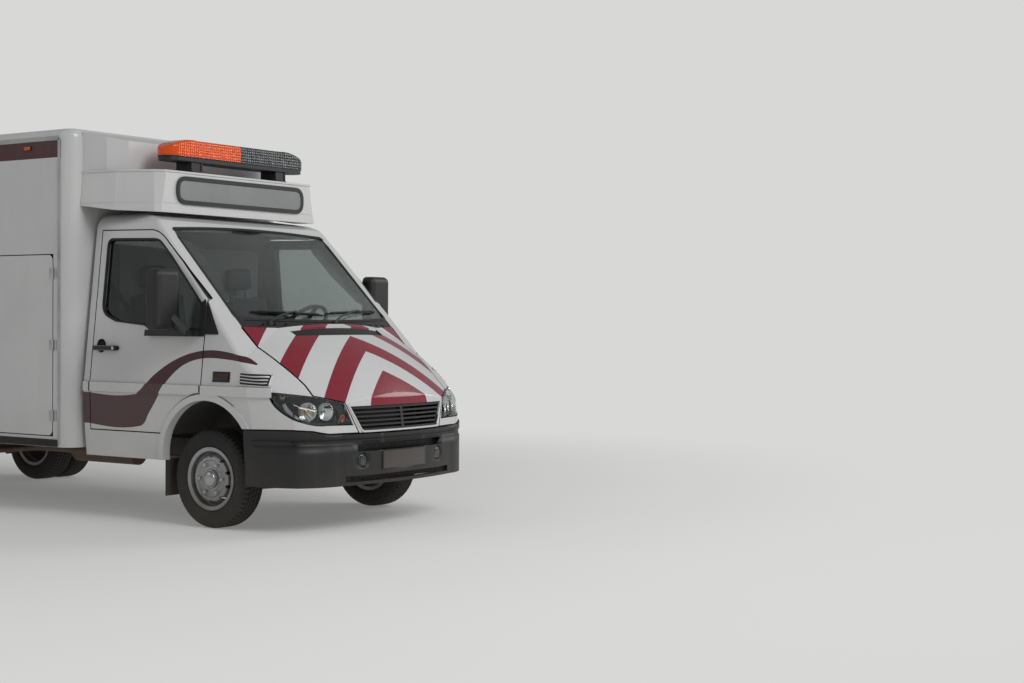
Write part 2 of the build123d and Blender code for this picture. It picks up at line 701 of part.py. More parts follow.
def make_chassis_frame():
    # A ladder of two channel rails, open towards the middle, with a drilled end plate for a tow bar.
    web = 8
    half = rail_outer_y - web
    frame = block(frame_tail_x, frame_tail_x + 10, -half, half, frame_bottom_z, frame_top_z)
    for y in (-tow_spacing_y / 2, tow_spacing_y / 2):
        for z in (tow_centre_z - tow_spacing_z / 2, tow_centre_z + tow_spacing_z / 2):
            frame = frame - Pos(frame_tail_x + 5, y, z) * Rot(0, 90, 0) * Cylinder(tow_hole_radius, 40)
    for sign in (-1, 1):
        rail_sides = sorted((sign * rail_inner_y, sign * rail_outer_y))
        rail = block(frame_tail_x, frame_front_x, *rail_sides, frame_bottom_z, frame_top_z)
        hollow = sorted((sign * (rail_inner_y - 5), sign * half))
        void = block(frame_tail_x + 10, frame_front_x + 5, *hollow, frame_bottom_z + web, frame_top_z - web)
        frame = frame + (rail - void)
    for x in (615, -950, -1900, -2850, -4250):
        frame = frame + block(x - 35, x + 35, -half, half, 480, frame_top_z - web)
    for x in (-1500, -2400, -3000, -4600):
        frame = frame + block(x - 25, x + 25, -900, 900, frame_top_z, box_floor_z - 50)
    return frame


def make_engine():
    block_body = fillet(block(175, 570, -200, 200, 430, 880).edges().filter_by(Axis.X), 40)
    return block_body + fillet(block(190, 545, -120, 120, 875, 960).edges().filter_by(Axis.X), 25)


def make_radiator():
    # The finned core between its end tanks, against the front of the frame rails.
    rear_x = frame_front_x
    front_x = frame_front_x + 44
    half = 375
    low_z = 425
    high_z = 790
    rib_pitch = 30
    rib_gap = 14
    rib_depth = 6
    core = block(rear_x, front_x, -half, half, low_z, high_z)
    for z in range(low_z + 20, high_z - 10, rib_pitch):
        core = core - block(front_x - rib_depth, front_x + 1, -half + 15, half - 15, z, z + rib_gap)
    for sign in (-1, 1):
        tank_sides = sorted((sign * half, sign * (half + 60)))
        tank = block(rear_x, front_x + 10, *tank_sides, low_z - 10, high_z + 10)
        core = core + fillet(tank.edges().filter_by(Axis.Z), 12)
    return core


def make_driveline():
    bell = Pos(105, 0, 470) * Rot(0, 90, 0) * Cone(95, 122, 130)
    box = fillet(block(-520, 60, -95, 95, 365, 560).edges().filter_by(Axis.X), 30)
    shaft_start = Vector(-510, 0, 440)
    shaft_end = Vector(rear_axle_x + 235, 0, tyre_radius + 6)
    run = shaft_end - shaft_start
    shaft = Solid.make_cylinder(34, run.length, Plane(shaft_start, z_dir=run))
    return bell + box + shaft


def make_exhaust():
    silencer = Pos(-1650, -290, 385) * Rot(0, 90, 0) * Cylinder(82, 640)
    route = FilletPolyline((-1960, -290, 385), (-2450, -290, 385), (-2450, -1010, 385), radius=120)
    tail_pipe = sweep(Plane((-1960, -290, 385), z_dir=(1, 0, 0)) * Circle(27), path=route)
    front_route = FilletPolyline((-1340, -290, 385), (-500, -290, 385), (-300, -200, 470), radius=150)
    front_pipe = sweep(Plane((-1340, -290, 385), z_dir=(1, 0, 0)) * Circle(27), path=front_route)
    return silencer + tail_pipe + front_pipe


def make_fuel_tank():
    return fillet(block(-2300, -1400, 500, 860, 270, 470).edges(), 45)


# Box body
def make_box_outer(inset):
    body = block(box_rear_x, box_front_x - inset, -box_half_width + inset, box_half_width - inset,
                 box_bottom_z, box_top_z - inset)
    corner = [e for e in body.edges().filter_by(Axis.Z) if e.center().X > box_front_x - inset - 5]
    body = fillet(corner, box_corner_radius - inset * 0.6)
    high = [e for e in body.edges() if e.center().Z > box_top_z - inset - 2]
    roof_edges = [e for e in high if e.center().X > box_rear_x + 5]
    return fillet(roof_edges, 62 - inset * 0.6)


box_skin = make_box_outer(0)
box_lining = make_box_outer(box_wall)
box_shell = box_skin - box_lining
rear_frame_x = box_rear_x + 60
rear_arch_radius = 420
box_gap = 7
rear_door_half = 786
rear_door_low_z = 700
rear_door_high_z = 2560
locker_low_z = 560
locker_high_z = 1817
locker_front_x = -1366
locker_rear_x = -2146


def make_box_front():
    wall = box_shell & block(post_end_x, box_front_x + 10, -1200, 1200, box_bottom_z, 2800)
    rail_half = rail_outer_y + 8
    return wall - block(post_end_x, box_front_x + 10, -rail_half, rail_half, 400, frame_top_z + 5)


def make_box_roof():
    return box_shell & block(box_rear_x - 5, post_end_x, -1200, 1200, cant_z, 2800)


def make_box_side(sign):
    low, high = sorted((sign * 900, sign * 1200))
    side = box_shell & block(rear_frame_x, post_end_x, low, high, box_bottom_z, cant_z)
    side = side - cross_cylinder(rear_axle_x, tyre_radius, rear_arch_radius, low, high)
    if sign < 0:
        opening = block(locker_rear_x - box_gap, locker_front_x + box_gap, low, high,
                        locker_low_z - box_gap, locker_high_z + box_gap)
        side = side - opening
    return side


def make_box_rear_frame():
    ring = box_skin & block(box_rear_x, rear_frame_x, -1200, 1200, box_bottom_z + 60, cant_z)
    half = rear_door_half + box_gap
    return ring - block(box_rear_x - 50, box_rear_x + 100, -half, half,
                        rear_door_low_z - box_gap, rear_door_high_z + box_gap)


def make_box_floor():
    floor = block(rear_frame_x, box_front_x - box_wall, -1019, 1019, box_floor_z - 50, box_floor_z)
    for sign in (-1, 1):
        low, high = sorted((sign * 545, sign * 1019))
        inner_low, inner_high = sorted((sign * 553, sign * 1030))
        house = block(rear_axle_x - 428, rear_axle_x + 428, low, high, box_floor_z - 50, 800)
        void = block(rear_axle_x - 420, rear_axle_x + 420, inner_low, inner_high, box_floor_z - 60, 792)
        floor = (floor + house) - void
    return floor & make_box_outer(box_wall + 1)


def make_rear_door(sign):
    low, high = sorted((sign * 6, sign * rear_door_half))
    panel = block(box_rear_x, box_rear_x + 40, low, high, rear_door_low_z, rear_door_high_z)
    window = Pos(box_rear_x + 20, sign * 400, 2050) * Box(100, 460, 620)
    window = fillet(window.edges().filter_by(Axis.X), 60)
    panel = panel - window
    grip_low, grip_high = sorted((sign * 40, sign * 70))
    return panel + block(box_rear_x - 34, box_rear_x + 5, grip_low, grip_high, 1180, 1420)


def make_rear_glass(sign):
    pane = Pos(box_rear_x + 20, sign * 400, 2050) * Box(6, 458, 618)
    return fillet(pane.edges().filter_by(Axis.X), 59)


def make_locker_door():
    outer_y = -box_half_width
    door = block(locker_rear_x, locker_front_x, outer_y, outer_y + 36, locker_low_z, locker_high_z)
    door = fillet([e for e in door.edges().filter_by(Axis.Y)], 40)
    return door + block(locker_rear_x + 60, locker_rear_x + 180, outer_y - 16, outer_y + 4, 1110, 1150)


def make_fairing():
    # Over-cab housing: a flared lower part and a higher, narrower rear part.
    rear = box_front_x
    under_line = [(-570, 2090), (-570, 2106), (-900, 2122), (rear - 10, 2160), (rear - 10, 2090)]

    def ring(half, z):
        # A level outline from one side's points, mirrored to the other.
        points = [(x, -y, z) for x, y in half] + [(x, y, z) for x, y in reversed(half)]
        return make_face(Polyline(*points, close=True))

    def volume(t):
        skirt = ring([(rear, 974 - t), (-882, 930 - t), (-616 - t, 818 - t), (-590 - t, 782 - t)], 2095)
        brow = ring([(rear, 950 - t), (-900, 905 - t), (-650 - t, 795 - t), (-590 - t, 735 - t)], 2400 - t)
        base = loft([skirt, brow], ruled=True)
        base = base - side_prism(under_line, -1200, 1200)
        upper = [(rear, -950 + t), (-1010 - t, -890 + t), (-905 - t, -790 + t), (-895 - t, 0),
                 (-905 - t, 790 - t), (-1010 - t, 890 - t), (rear, 950 - t)]
        top = plan_prism(upper, 2390 - t, 2700)
        slope = [(rear - 5, 2300), (rear - 5, 2676 - t), (-895, 2606 - t), (-500, 2500), (-500, 2300)]
        return base + (top & side_prism(slope, -1200, 1200))

    return volume(0) - volume(28)


def make_sign_panel():
    panel = Pos(-584.5, 4, 2267) * Box(11, 1298, 190)
    return fillet(panel.edges().filter_by(Axis.X), 78)


bar_x = -680
bar_half_depth = 90
bar_half = 700
lens_low_z = 2507


def bar_plan(grow):
    # The bar seen from above, with round ends.
    depth = bar_half_depth + grow
    end = bar_half - bar_half_depth
    return face_of([
        Line((bar_x - depth, -end, 0), (bar_x - depth, end, 0)),
        ThreePointArc((bar_x - depth, end, 0), (bar_x, end + depth, 0), (bar_x + depth, end, 0)),
        Line((bar_x + depth, end, 0), (bar_x + depth, -end, 0)),
        ThreePointArc((bar_x + depth, -end, 0), (bar_x, -end - depth, 0), (bar_x - depth, -end, 0)),
    ])


def make_light_bar():
    base = outline_prism(bar_plan(-6), "Z", lens_low_z - 33, lens_low_z - 1)
    for y in (-430, 430):
        base = base + block(bar_x - 70, bar_x + 70, y - 45, y + 45, 2400, lens_low_z - 31)
    return base


def make_beacon(sign):
    # The lens is level over its middle and falls away towards the tip.
    crown_z = lens_low_z + 116
    shoulder_z = lens_low_z + 102
    tip_z = lens_low_z + 52
    tip_y = sign * (bar_half + 1)
    front = face_of([
        Line((0, sign * 4, lens_low_z), (0, sign * 4, crown_z)),
        Line((0, sign * 4, crown_z), (0, sign * 420, crown_z)),
        ThreePointArc((0, sign * 420, crown_z), (0, sign * 590, shoulder_z), (0, tip_y, tip_z)),
        Line((0, tip_y, tip_z), (0, tip_y, lens_low_z)),
        Line((0, tip_y, lens_low_z), (0, sign * 4, lens_low_z)),
    ])
    lens = outline_prism(front, "X", bar_x - 120, bar_x + 120)
    lens = lens & outline_prism(bar_plan(0), "Z", lens_low_z - 5, lens_low_z + 150)
    crown = [e for e in lens.edges() if e.center().Z > tip_z + 20 and abs(e.center().X - bar_x) > 30]
    return fillet(crown, 22)


def make_rear_step():
    step = block(tail_x, box_rear_x + 110, -760, 760, 372, 402)
    for y in (-425, 425):
        step = step + block(box_rear_x - 20, box_rear_x + 100, y - 22, y + 22, 400, frame_bottom_z)
    return step


def make_tail_lamps():
    lamps = []
    for sign in (-1, 1):
        lamp = Pos(box_rear_x - 10, sign * 930, 900) * Box(20, 130, 420)
        lamps.append(fillet(lamp.edges().filter_by(Axis.X), 30))
    return Compound(children=lamps)


def front_wheel_place(sign):
    return Pos(0, sign * front_track / 2, tyre_radius)


def rear_wheel_place(sign):
    return Pos(rear_axle_x, sign * rear_track / 2, tyre_radius)


write("chassis_frame", make_chassis_frame())
write("front_axle", make_front_axle())
write("front_springs", make_front_springs())
write("rear_axle", make_rear_axle())
write("leaf_springs", make_leaf_springs())
write("engine_block", make_engine())
write("radiator", make_radiator())
write("driveline", make_driveline())
write("exhaust", make_exhaust())
write("fuel_tank", make_fuel_tank())

knuckle = make_knuckle()
write("knuckle_left", knuckle)
write("knuckle_right", mirrored(knuckle))
rim = front_rim()
write("rim_front_left", front_wheel_place(1) * rim)
write("rim_front_right", front_wheel_place(-1) * mirrored(rim))
twin_rim = rear_rims()
write("rim_rear_left", rear_wheel_place(1) * twin_rim)
write("rim_rear_right", rear_wheel_place(-1) * mirrored(twin_rim))
for side, sign in (("left", 1), ("right", -1)):
    write(f"tyre_front_{side}", front_wheel_place(sign) * tyre_ring())
    write(f"tyre_rear_{side}", rear_wheel_place(sign) * rear_tyres())

write("cab_shell", make_cab_shell())
write("cab_floor", make_cab_floor())
write("cowl", make_cowl())
write("hood", make_hood())
write("hood_inlet", make_hood_inlet())
write("grille", make_grille())
write("front_bumper", make_bumper())
write("windscreen", make_windscreen())
door = make_door()
door_glass = make_door_glass()
lamp = make_lamp()
mirror_piece = make_mirror()
for side, turn in (("right", lambda shape: shape), ("left", mirrored)):
    write(f"door_{side}", turn(door))
    write(f"door_glass_{side}", turn(door_glass))
    write(f"headlamp_{side}", turn(lamp))
    write(f"mirror_{side}", turn(mirror_piece))
write("dashboard", make_dashboard())
write("steering_wheel", make_steering_wheel())
write("driver_seat", make_seat(430))
write("passenger_seat", make_seat(-430))

write("box_front_wall", make_box_front())
write("box_roof", make_box_roof())
write("box_side_left", make_box_side(1))
write("box_side_right", make_box_side(-1))
write("box_rear_frame", make_box_rear_frame())
write("box_floor", make_box_floor())
write("rear_door_left", make_rear_door(1))
write("rear_door_right", make_rear_door(-1))
write("rear_glass_left", make_rear_glass(1))
write("rear_glass_right", make_rear_glass(-1))
write("locker_door", make_locker_door())
write("fairing", make_fairing())
write("sign_panel", make_sign_panel())
write("light_bar", make_light_bar())
write("beacon_lens_left", make_beacon(1))
write("beacon_lens_right", make_beacon(-1))
write("rear_step", make_rear_step())
write("tail_lamps", make_tail_lamps())
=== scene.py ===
import bpy
import bmesh
import math
from mathutils import Matrix, Vector
from mathutils.bvhtree import BVHTree


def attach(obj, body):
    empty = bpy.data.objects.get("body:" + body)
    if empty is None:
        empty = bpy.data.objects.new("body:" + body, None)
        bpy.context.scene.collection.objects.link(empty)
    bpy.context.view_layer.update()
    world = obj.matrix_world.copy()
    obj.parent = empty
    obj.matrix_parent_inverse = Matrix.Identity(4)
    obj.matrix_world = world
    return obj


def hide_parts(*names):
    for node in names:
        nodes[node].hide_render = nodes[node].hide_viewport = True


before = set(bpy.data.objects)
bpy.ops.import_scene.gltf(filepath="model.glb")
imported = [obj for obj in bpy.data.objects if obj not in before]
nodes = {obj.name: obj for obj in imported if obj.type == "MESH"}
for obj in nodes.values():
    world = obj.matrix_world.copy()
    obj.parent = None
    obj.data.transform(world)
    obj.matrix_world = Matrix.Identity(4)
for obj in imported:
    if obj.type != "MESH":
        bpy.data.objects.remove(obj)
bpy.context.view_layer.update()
scene = bpy.context.scene
axleX = 2.055  # the front axle stands this far ahead of the frame's origin
sides = (("right", -1), ("left", 1))
print("frame loaded,", len(nodes), "nodes")


def at(x, y, z):
    # a place in millimetres from the front axle, as on the drawing
    return Vector((x / 1000 + axleX, y / 1000, z / 1000))


def tone(red, green, blue, alpha=1.0):
    # screen colour to the linear colour that a shader wants
    parts = [c / 255 for c in (red, green, blue)]
    return tuple(c / 12.92 if c < 0.04045 else ((c + 0.055) / 1.055) ** 2.4 for c in parts) + (alpha,)


# Mesh tools

def roundedPath(points, radius, closed=True, steps=6):
    # rounds each corner of a flat outline; a radius may be given per corner
    count = len(points)
    radii = radius if isinstance(radius, (list, tuple)) else [radius] * count
    path = []
    for i in range(count):
        here = Vector(points[i])
        if radii[i] <= 0 or (not closed and i in (0, count - 1)):
            path.append(tuple(here))
            continue
        before = Vector(points[i - 1]) - here
        after = Vector(points[(i + 1) % count]) - here
        reach = min(radii[i], before.length * 0.48, after.length * 0.48)
        start = here + before.normalized() * reach
        end = here + after.normalized() * reach
        for k in range(steps + 1):
            t = k / steps
            path.append(tuple(start * (1 - t) ** 2 + here * 2 * t * (1 - t) + end * t * t))
    return path


def spaced(points, step, closed=True):
    # adds points so that no span of the path is longer than step
    path = []
    count = len(points)
    for i in range(count if closed else count - 1):
        a, b = Vector(points[i]), Vector(points[(i + 1) % count])
        parts = max(1, math.ceil((b - a).length / step))
        path += [tuple(a.lerp(b, k / parts)) for k in range(parts)]
    if not closed:
        path.append(tuple(points[-1]))
    return path


def addBlock(bm, low, high, bevel=0.0, segments=2):
    # a block between two corners, with its edges broken
    low, high = Vector(map(min, low, high)), Vector(map(max, low, high))
    made = bmesh.ops.create_cube(bm, size=1.0)["verts"]
    for vert in made:
        vert.co = Vector([low[k] + (vert.co[k] + 0.5) * (high[k] - low[k]) for k in range(3)])
    if bevel > 0:
        edges = {edge for vert in made for edge in vert.link_edges}
        bmesh.ops.bevel(bm, geom=list(edges), offset=bevel, segments=segments, affect="EDGES", profile=0.5)


def addTurned(bm, profile, centre, axis, segments=32, closed=True):
    # a turned part: profile rows are (distance along the axis, radius)
    axis = Vector(axis).normalized()
    across = axis.orthogonal().normalized()
    other = axis.cross(across)
    rings = []
    for along, radius in profile:
        if radius < 1e-6:
            rings.append([bm.verts.new(centre + axis * along)])
            continue
        turn = [2 * math.pi * k / segments for k in range(segments)]
        spokes = [across * math.cos(a) + other * math.sin(a) for a in turn]
        rings.append([bm.verts.new(centre + axis * along + spoke * radius) for spoke in spokes])
    for a, b in zip(rings, rings[1:]):
        for k in range(segments):
            n = (k + 1) % segments
            corners = [a[k % len(a)], a[n % len(a)], b[n % len(b)], b[k % len(b)]]
            unique = list(dict.fromkeys(corners))
            if len(unique) > 2:
                bm.faces.new(unique)
    if closed:
        for ring in (rings[0], rings[-1]):
            if len(ring) > 2:
                bm.faces.new(ring)


def addSwept(bm, path, section, closed=False):
    # sweeps a section along (place, surface normal) rows; section rows are (across, out)
    count = len(path)
    rings = []
    for i, (point, normal) in enumerate(path):
        before = path[i - 1][0] if (closed or i > 0) else point
        after = path[(i + 1) % count][0] if (closed or i < count - 1) else point
        along = (after - before).normalized()
        side = along.cross(normal).normalized()
        out = side.cross(along).normalized()
        rings.append([bm.verts.new(point + side * a + out * b) for a, b in section])
    size = len(section)
    for i in range(count if closed else count - 1):
        a, b = rings[i], rings[(i + 1) % count]
        for k in range(size):
            bm.faces.new((a[k], a[(k + 1) % size], b[(k + 1) % size], b[k]))
    if not closed:
        bm.faces.new(rings[0])
        bm.faces.new(rings[-1])


def flatSection(width, height, sink=0.002):
    # a low moulding with broken edges, sunk a little into what it lies on
    half, chamfer = width / 2, min(width, height) * 0.35
    return [(-half, -sink), (half, -sink), (half, height - chamfer), (half - chamfer, height),
            (-half + chamfer, height), (-half, height - chamfer)]


def roundSection(radius, corners):
    return [(radius * math.cos(2 * math.pi * k / corners), radius * math.sin(2 * math.pi * k / corners))
            for k in range(corners)]


def addTube(bm, points, radius, corners=10):
    places = [Vector(p) for p in points]
    upright = sum(abs((b - a).normalized().z) for a, b in zip(places, places[1:])) > 0.7 * (len(places) - 1)
    hint = Vector((1, 0.05, 0)) if upright else Vector((0.02, 0.03, 1))
    addSwept(bm, [(place, hint) for place in places], roundSection(radius, corners))


def addPrism(bm, outline, depth):
    # an outline of places, made solid along depth
    first = [bm.verts.new(p) for p in outline]
    second = [bm.verts.new(Vector(p) + Vector(depth)) for p in outline]
    bm.faces.new(first)
    bm.faces.new(list(reversed(second)))
    for k in range(len(outline)):
        n = (k + 1) % len(outline)
        bm.faces.new((first[n], first[k], second[k], second[n]))


def centred(x, z, wide, tall):
    # a rectangle's corners from its middle and its half sizes
    return [(x - wide, z - tall), (x + wide, z - tall), (x + wide, z + tall), (x - wide, z + tall)]


def rectangle(x0, z0, x1, z1):
    # a rectangle's corners from two of them
    return [(x0, z0), (x1, z0), (x1, z1), (x0, z1)]


def atX(points, x):
    # places of an outline in the front view
    return [at(x, y, z) for y, z in points]


def atY(points, y):
    # places of an outline in the side view
    return [at(x, y, z) for x, z in points]


def atZ(points, z):
    # places of an outline in the top view
    return [at(x, y, z) for x, y in points]


def addBlocks(bm, rows, sign=1, bevel=0.0):
    # blocks from a table, on the left side or mirrored to the right
    for x0, x1, y0, y1, z0, z1 in rows:
        addBlock(bm, at(x0, sign * y0, z0), at(x1, sign * y1, z1), bevel)


def surfaceOf(*names):
    # a tree to drop points on, made of CAD nodes
    verts, faces = [], []
    for name in names:
        mesh = nodes[name].data
        base = len(verts)
        verts += [v.co.copy() for v in mesh.vertices]
        faces += [[base + k for k in face.vertices] for face in mesh.polygons]
    return BVHTree.FromPolygons(verts, faces)


def drop(tree, start, direction, lift=0.0):
    # where a line from start first meets the surface, and the normal there
    place, normal, _, _ = tree.ray_cast(start, Vector(direction).normalized())
    if place is None:
        return None
    if normal.dot(Vector(direction)) > 0:
        normal = -normal
    return place + normal * lift, normal


def dropAll(tree, starts, direction, lift=0.0):
    found = [drop(tree, start, direction, lift) for start in starts]
    return [row for row in found if row]


def makePiece(name, bm, finishName, body="vehicle", bevel=0.0, smooth=38):
    # closes a mesh as a piece of the vehicle: normals, finish, soft edges, the body it rides on
    bmesh.ops.remove_doubles(bm, verts=bm.verts, dist=1e-6)
    bmesh.ops.recalc_face_normals(bm, faces=bm.faces)
    mesh = bpy.data.meshes.new(name)
    bm.to_mesh(mesh)
    bm.free()
    for face in mesh.polygons:
        face.use_smooth = True
    mesh.set_sharp_from_angle(angle=math.radians(smooth))
    made = bpy.data.objects.new(name, mesh)
    scene.collection.objects.link(made)
    mesh.materials.append(finish[finishName])
    if bevel > 0:
        edge = made.modifiers.new("brokenEdges", "BEVEL")
        edge.width = bevel
        edge.segments = 2
        edge.limit_method = "ANGLE"
        edge.angle_limit = math.radians(35)
    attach(made, body)
    return made


# Shader tools

def startGroup(name, inputs, outputs):
    tree = bpy.data.node_groups.new(name, "ShaderNodeTree")
    for label, kind, value in inputs:
        socket = tree.interface.new_socket(label, in_out="INPUT", socket_type="NodeSocket" + kind)
        socket.default_value = value
    for label, kind in outputs:
        tree.interface.new_socket(label, in_out="OUTPUT", socket_type="NodeSocket" + kind)
    return tree, tree.nodes.new("NodeGroupInput"), tree.nodes.new("NodeGroupOutput")


def put(tree, kind, sockets=None, **settings):
    # adds a node; sockets are values or outputs of other nodes, by name or number
    made = tree.nodes.new("ShaderNode" + kind)
    for key, value in settings.items():
        setattr(made, key, value)
    for key, value in (sockets or {}).items():
        if isinstance(value, bpy.types.NodeSocket):
            tree.links.new(value, made.inputs[key])
        else:
            made.inputs[key].default_value = value
    return made


def calc(tree, operation, *values, clamp=False):
    return put(tree, "Math", dict(enumerate(values)), operation=operation, use_clamp=clamp).outputs[0]


def spread(tree, value, low, high, toLow=0.0, toHigh=1.0):
    return put(tree, "MapRange", {0: value, 1: low, 2: high, 3: toLow, 4: toHigh}).outputs[0]


def mixColor(tree, share, first, second):
    return put(tree, "Mix", {0: share, 6: first, 7: second}, data_type="RGBA").outputs[2]


def placeOn(tree):
    # the vehicle's own coordinates, in metres: vector, x, y, z
    coords = put(tree, "TexCoord").outputs["Object"]
    parts = put(tree, "SeparateXYZ", {0: coords})
    return coords, parts.outputs[0], parts.outputs[1], parts.outputs[2]


def makeRoadFilm():
    # dust that thickens towards the road, with rain streaks and clouding
    tree, given, result = startGroup(
        "roadFilm",
        [("Top", "Float", 1.3), ("Bottom", "Float", 0.3), ("Streaks", "Float", 0.3)],
        [("Dust", "Float"), ("Cloud", "Float"), ("Fine", "Float")])
    coords, _, _, z = placeOn(tree)
    cloud = put(tree, "TexNoise", {"Vector": coords, "Scale": 2.6, "Detail": 6.0}).outputs[0]
    fine = put(tree, "TexNoise", {"Vector": coords, "Scale": 90.0, "Detail": 3.0}).outputs[0]
    tall = put(tree, "Mapping", {"Vector": coords, "Scale": (26.0, 26.0, 1.1)}).outputs[0]
    streak = put(tree, "TexNoise", {"Vector": tall, "Scale": 1.0, "Detail": 4.0}).outputs[0]
    low = spread(tree, z, given.outputs["Top"], given.outputs["Bottom"])
    low = calc(tree, "POWER", low, 1.7)
    low = calc(tree, "MULTIPLY", low, spread(tree, cloud, 0.3, 0.7, 0.45, 1.15))
    runs = calc(tree, "MULTIPLY", spread(tree, streak, 0.52, 0.74), given.outputs["Streaks"])
    tree.links.new(calc(tree, "ADD", low, runs, clamp=True), result.inputs["Dust"])
    tree.links.new(cloud, result.inputs["Cloud"])
    tree.links.new(fine, result.inputs["Fine"])
    return tree


def makeInnerSide():
    # 1 on the faces that look towards Centre, as the inside of a panel does
    tree, given, result = startGroup("innerSide", [("Centre", "Vector", (0, 0, 0))], [("Mask", "Float")])
    coords = put(tree, "TexCoord")
    place, normal = coords.outputs["Object"], coords.outputs["Normal"]
    away = put(tree, "VectorMath", {0: place, 1: given.outputs["Centre"]}, operation="SUBTRACT").outputs[0]
    facing = put(tree, "VectorMath", {0: away, 1: normal}, operation="DOT_PRODUCT").outputs["Value"]
    tree.links.new(calc(tree, "LESS_THAN", facing, 0.0), result.inputs["Mask"])
    return tree


def makePanelEdgeShade():
    # Low marks the faces that lie along Across, High those that look along it: a panel's cut edges, which the
    # finishes paint near black as shade in the gaps
    tree, given, result = startGroup(
        "panelEdgeShade", [("Across", "Vector", (0, 1, 0))], [("Low", "Float"), ("High", "Float")])
    normal = put(tree, "TexCoord").outputs["Normal"]
    turn = put(tree, "VectorMath", {0: normal, 1: given.outputs["Across"]}, operation="DOT_PRODUCT")
    turn = calc(tree, "ABSOLUTE", turn.outputs["Value"])
    tree.links.new(calc(tree, "LESS_THAN", turn, 0.3), result.inputs["Low"])
    tree.links.new(calc(tree, "GREATER_THAN", turn, 0.86), result.inputs["High"])
    return tree


# Hood stripes: where each edge crosses the middle line and how far it runs back per metre of width.
hoodStripes = {
    "edges": [(-195, 0.455), (-52, 0.455), (150, 0.425), (266, 0.468), (434, 0.503), (574, 0.495),
              (722, 0.478)],
    "color": (124, 10, 34),
}


def makeHoodStripes():
    tree, _, result = startGroup("hoodStripes", [], [("Mask", "Float")])
    _, x, y, _ = placeOn(tree)
    width = calc(tree, "ABSOLUTE", y)
    total = 0.0
    for number, (start, slope) in enumerate(hoodStripes["edges"]):
        line = calc(tree, "MULTIPLY_ADD", width, slope, axleX + start / 1000)
        beyond = calc(tree, "GREATER_THAN", x, line)
        total = calc(tree, "ADD" if number % 2 == 0 else "SUBTRACT", beyond if total == 0.0 else total,
                     0.0 if total == 0.0 else beyond)
    tree.links.new(total, result.inputs["Mask"])
    return tree


# Side stripe: outer and inner edges as (x, z) rows in millimetres, from the rear to the tip.
sideStripe = {
    "outer": [(-1100, 868), (-640, 868), (-628, 872), (-576, 903), (-541, 936), (-488, 985), (-424, 1029),
              (-339, 1078), (-231, 1124), (-112, 1157), (19, 1173), (151, 1168), (300, 1140), (394, 1091),
              (460, 1050)],
    "inner": [(-1100, 654), (-600, 654), (-566, 670), (-523, 731), (-451, 823), (-415, 873), (-352, 952),
              (-306, 997), (-255, 1038), (-181, 1080), (-84, 1110), (25, 1122), (156, 1118), (316, 1101),
              (394, 1083), (460, 1060)],
    # the stripe is the hood's crimson, painted darker to this maroon as shade of the side
    "ahead": 396, "color": (60, 14, 25),
}


def makeSideStripe():
    tree, _, result = startGroup("sideStripe", [], [("Mask", "Float")])
    _, x, _, z = placeOn(tree)
    left, right, low, high = -1100, 460, 600, 1200
    along = spread(tree, x, axleX + left / 1000, axleX + right / 1000)
    levels = {}
    for edge in ("outer", "inner"):
        curve = put(tree, "FloatCurve", {"Value": along})
        points = curve.mapping.curves[0].points
        rows = [((px - left) / (right - left), (pz - low) / (high - low)) for px, pz in sideStripe[edge]]
        points[0].location, points[1].location = rows[0], rows[-1]
        for row in rows[1:-1]:
            points.new(*row)
        curve.mapping.update()
        levels[edge] = spread(tree, curve.outputs[0], 0.0, 1.0, low / 1000, high / 1000)
    under = calc(tree, "LESS_THAN", z, levels["outer"])
    over = calc(tree, "GREATER_THAN", z, levels["inner"])
    ahead = calc(tree, "LESS_THAN", x, axleX + sideStripe["ahead"] / 1000)
    tree.links.new(calc(tree, "MULTIPLY", calc(tree, "MULTIPLY", under, over), ahead), result.inputs["Mask"])
    return tree


# the band's own dark red, painted darker still as shade of the box side
boxBand = {"front": -1284, "low": 2493, "high": 2612, "color": (66, 16, 27)}


def makeBoxBand():
    tree, _, result = startGroup("boxBand", [], [("Mask", "Float")])
    _, x, _, z = placeOn(tree)
    mask = calc(tree, "LESS_THAN", x, axleX + boxBand["front"] / 1000)
    mask = calc(tree, "MULTIPLY", mask, calc(tree, "GREATER_THAN", z, boxBand["low"] / 1000))
    mask = calc(tree, "MULTIPLY", mask, calc(tree, "LESS_THAN", z, boxBand["high"] / 1000))
    tree.links.new(mask, result.inputs["Mask"])
    return tree


def makeMouldedGrain():
    # the fine leathery grain of moulded plastic and vinyl
    tree, given, result = startGroup("mouldedGrain", [("Scale", "Float", 300.0)], [("Height", "Float")])
    coords = placeOn(tree)[0]
    cells = put(tree, "TexVoronoi", {"Vector": coords, "Scale": given.outputs["Scale"]}, feature="SMOOTH_F1")
    dust = put(tree, "TexNoise", {"Vector": coords, "Scale": given.outputs["Scale"], "Detail": 2.0})
    tree.links.new(calc(tree, "MULTIPLY_ADD", dust.outputs[0], 0.6, cells.outputs[0]), result.inputs["Height"])
    return tree


def makeWeave():
    # crossing threads; Thread tells the lighter yarn from the darker
    tree, given, result = startGroup(
        "clothWeave", [("Scale", "Float", 300.0)], [("Height", "Float"), ("Thread", "Float")])
    coords = placeOn(tree)[0]
    turned = put(tree, "Mapping", {"Vector": coords, "Rotation": (0.6, 0.4, 0.78)}).outputs[0]
    yarn = {"Vector": turned, "Scale": given.outputs["Scale"], "Distortion": 0.6}
    warp = put(tree, "TexWave", yarn, bands_direction="X")
    weft = put(tree, "TexWave", yarn, bands_direction="Z")
    tree.links.new(calc(tree, "MULTIPLY", warp.outputs[1], weft.outputs[1]), result.inputs["Height"])
    tree.links.new(spread(tree, warp.outputs[1], 0.35, 0.65), result.inputs["Thread"])
    return tree


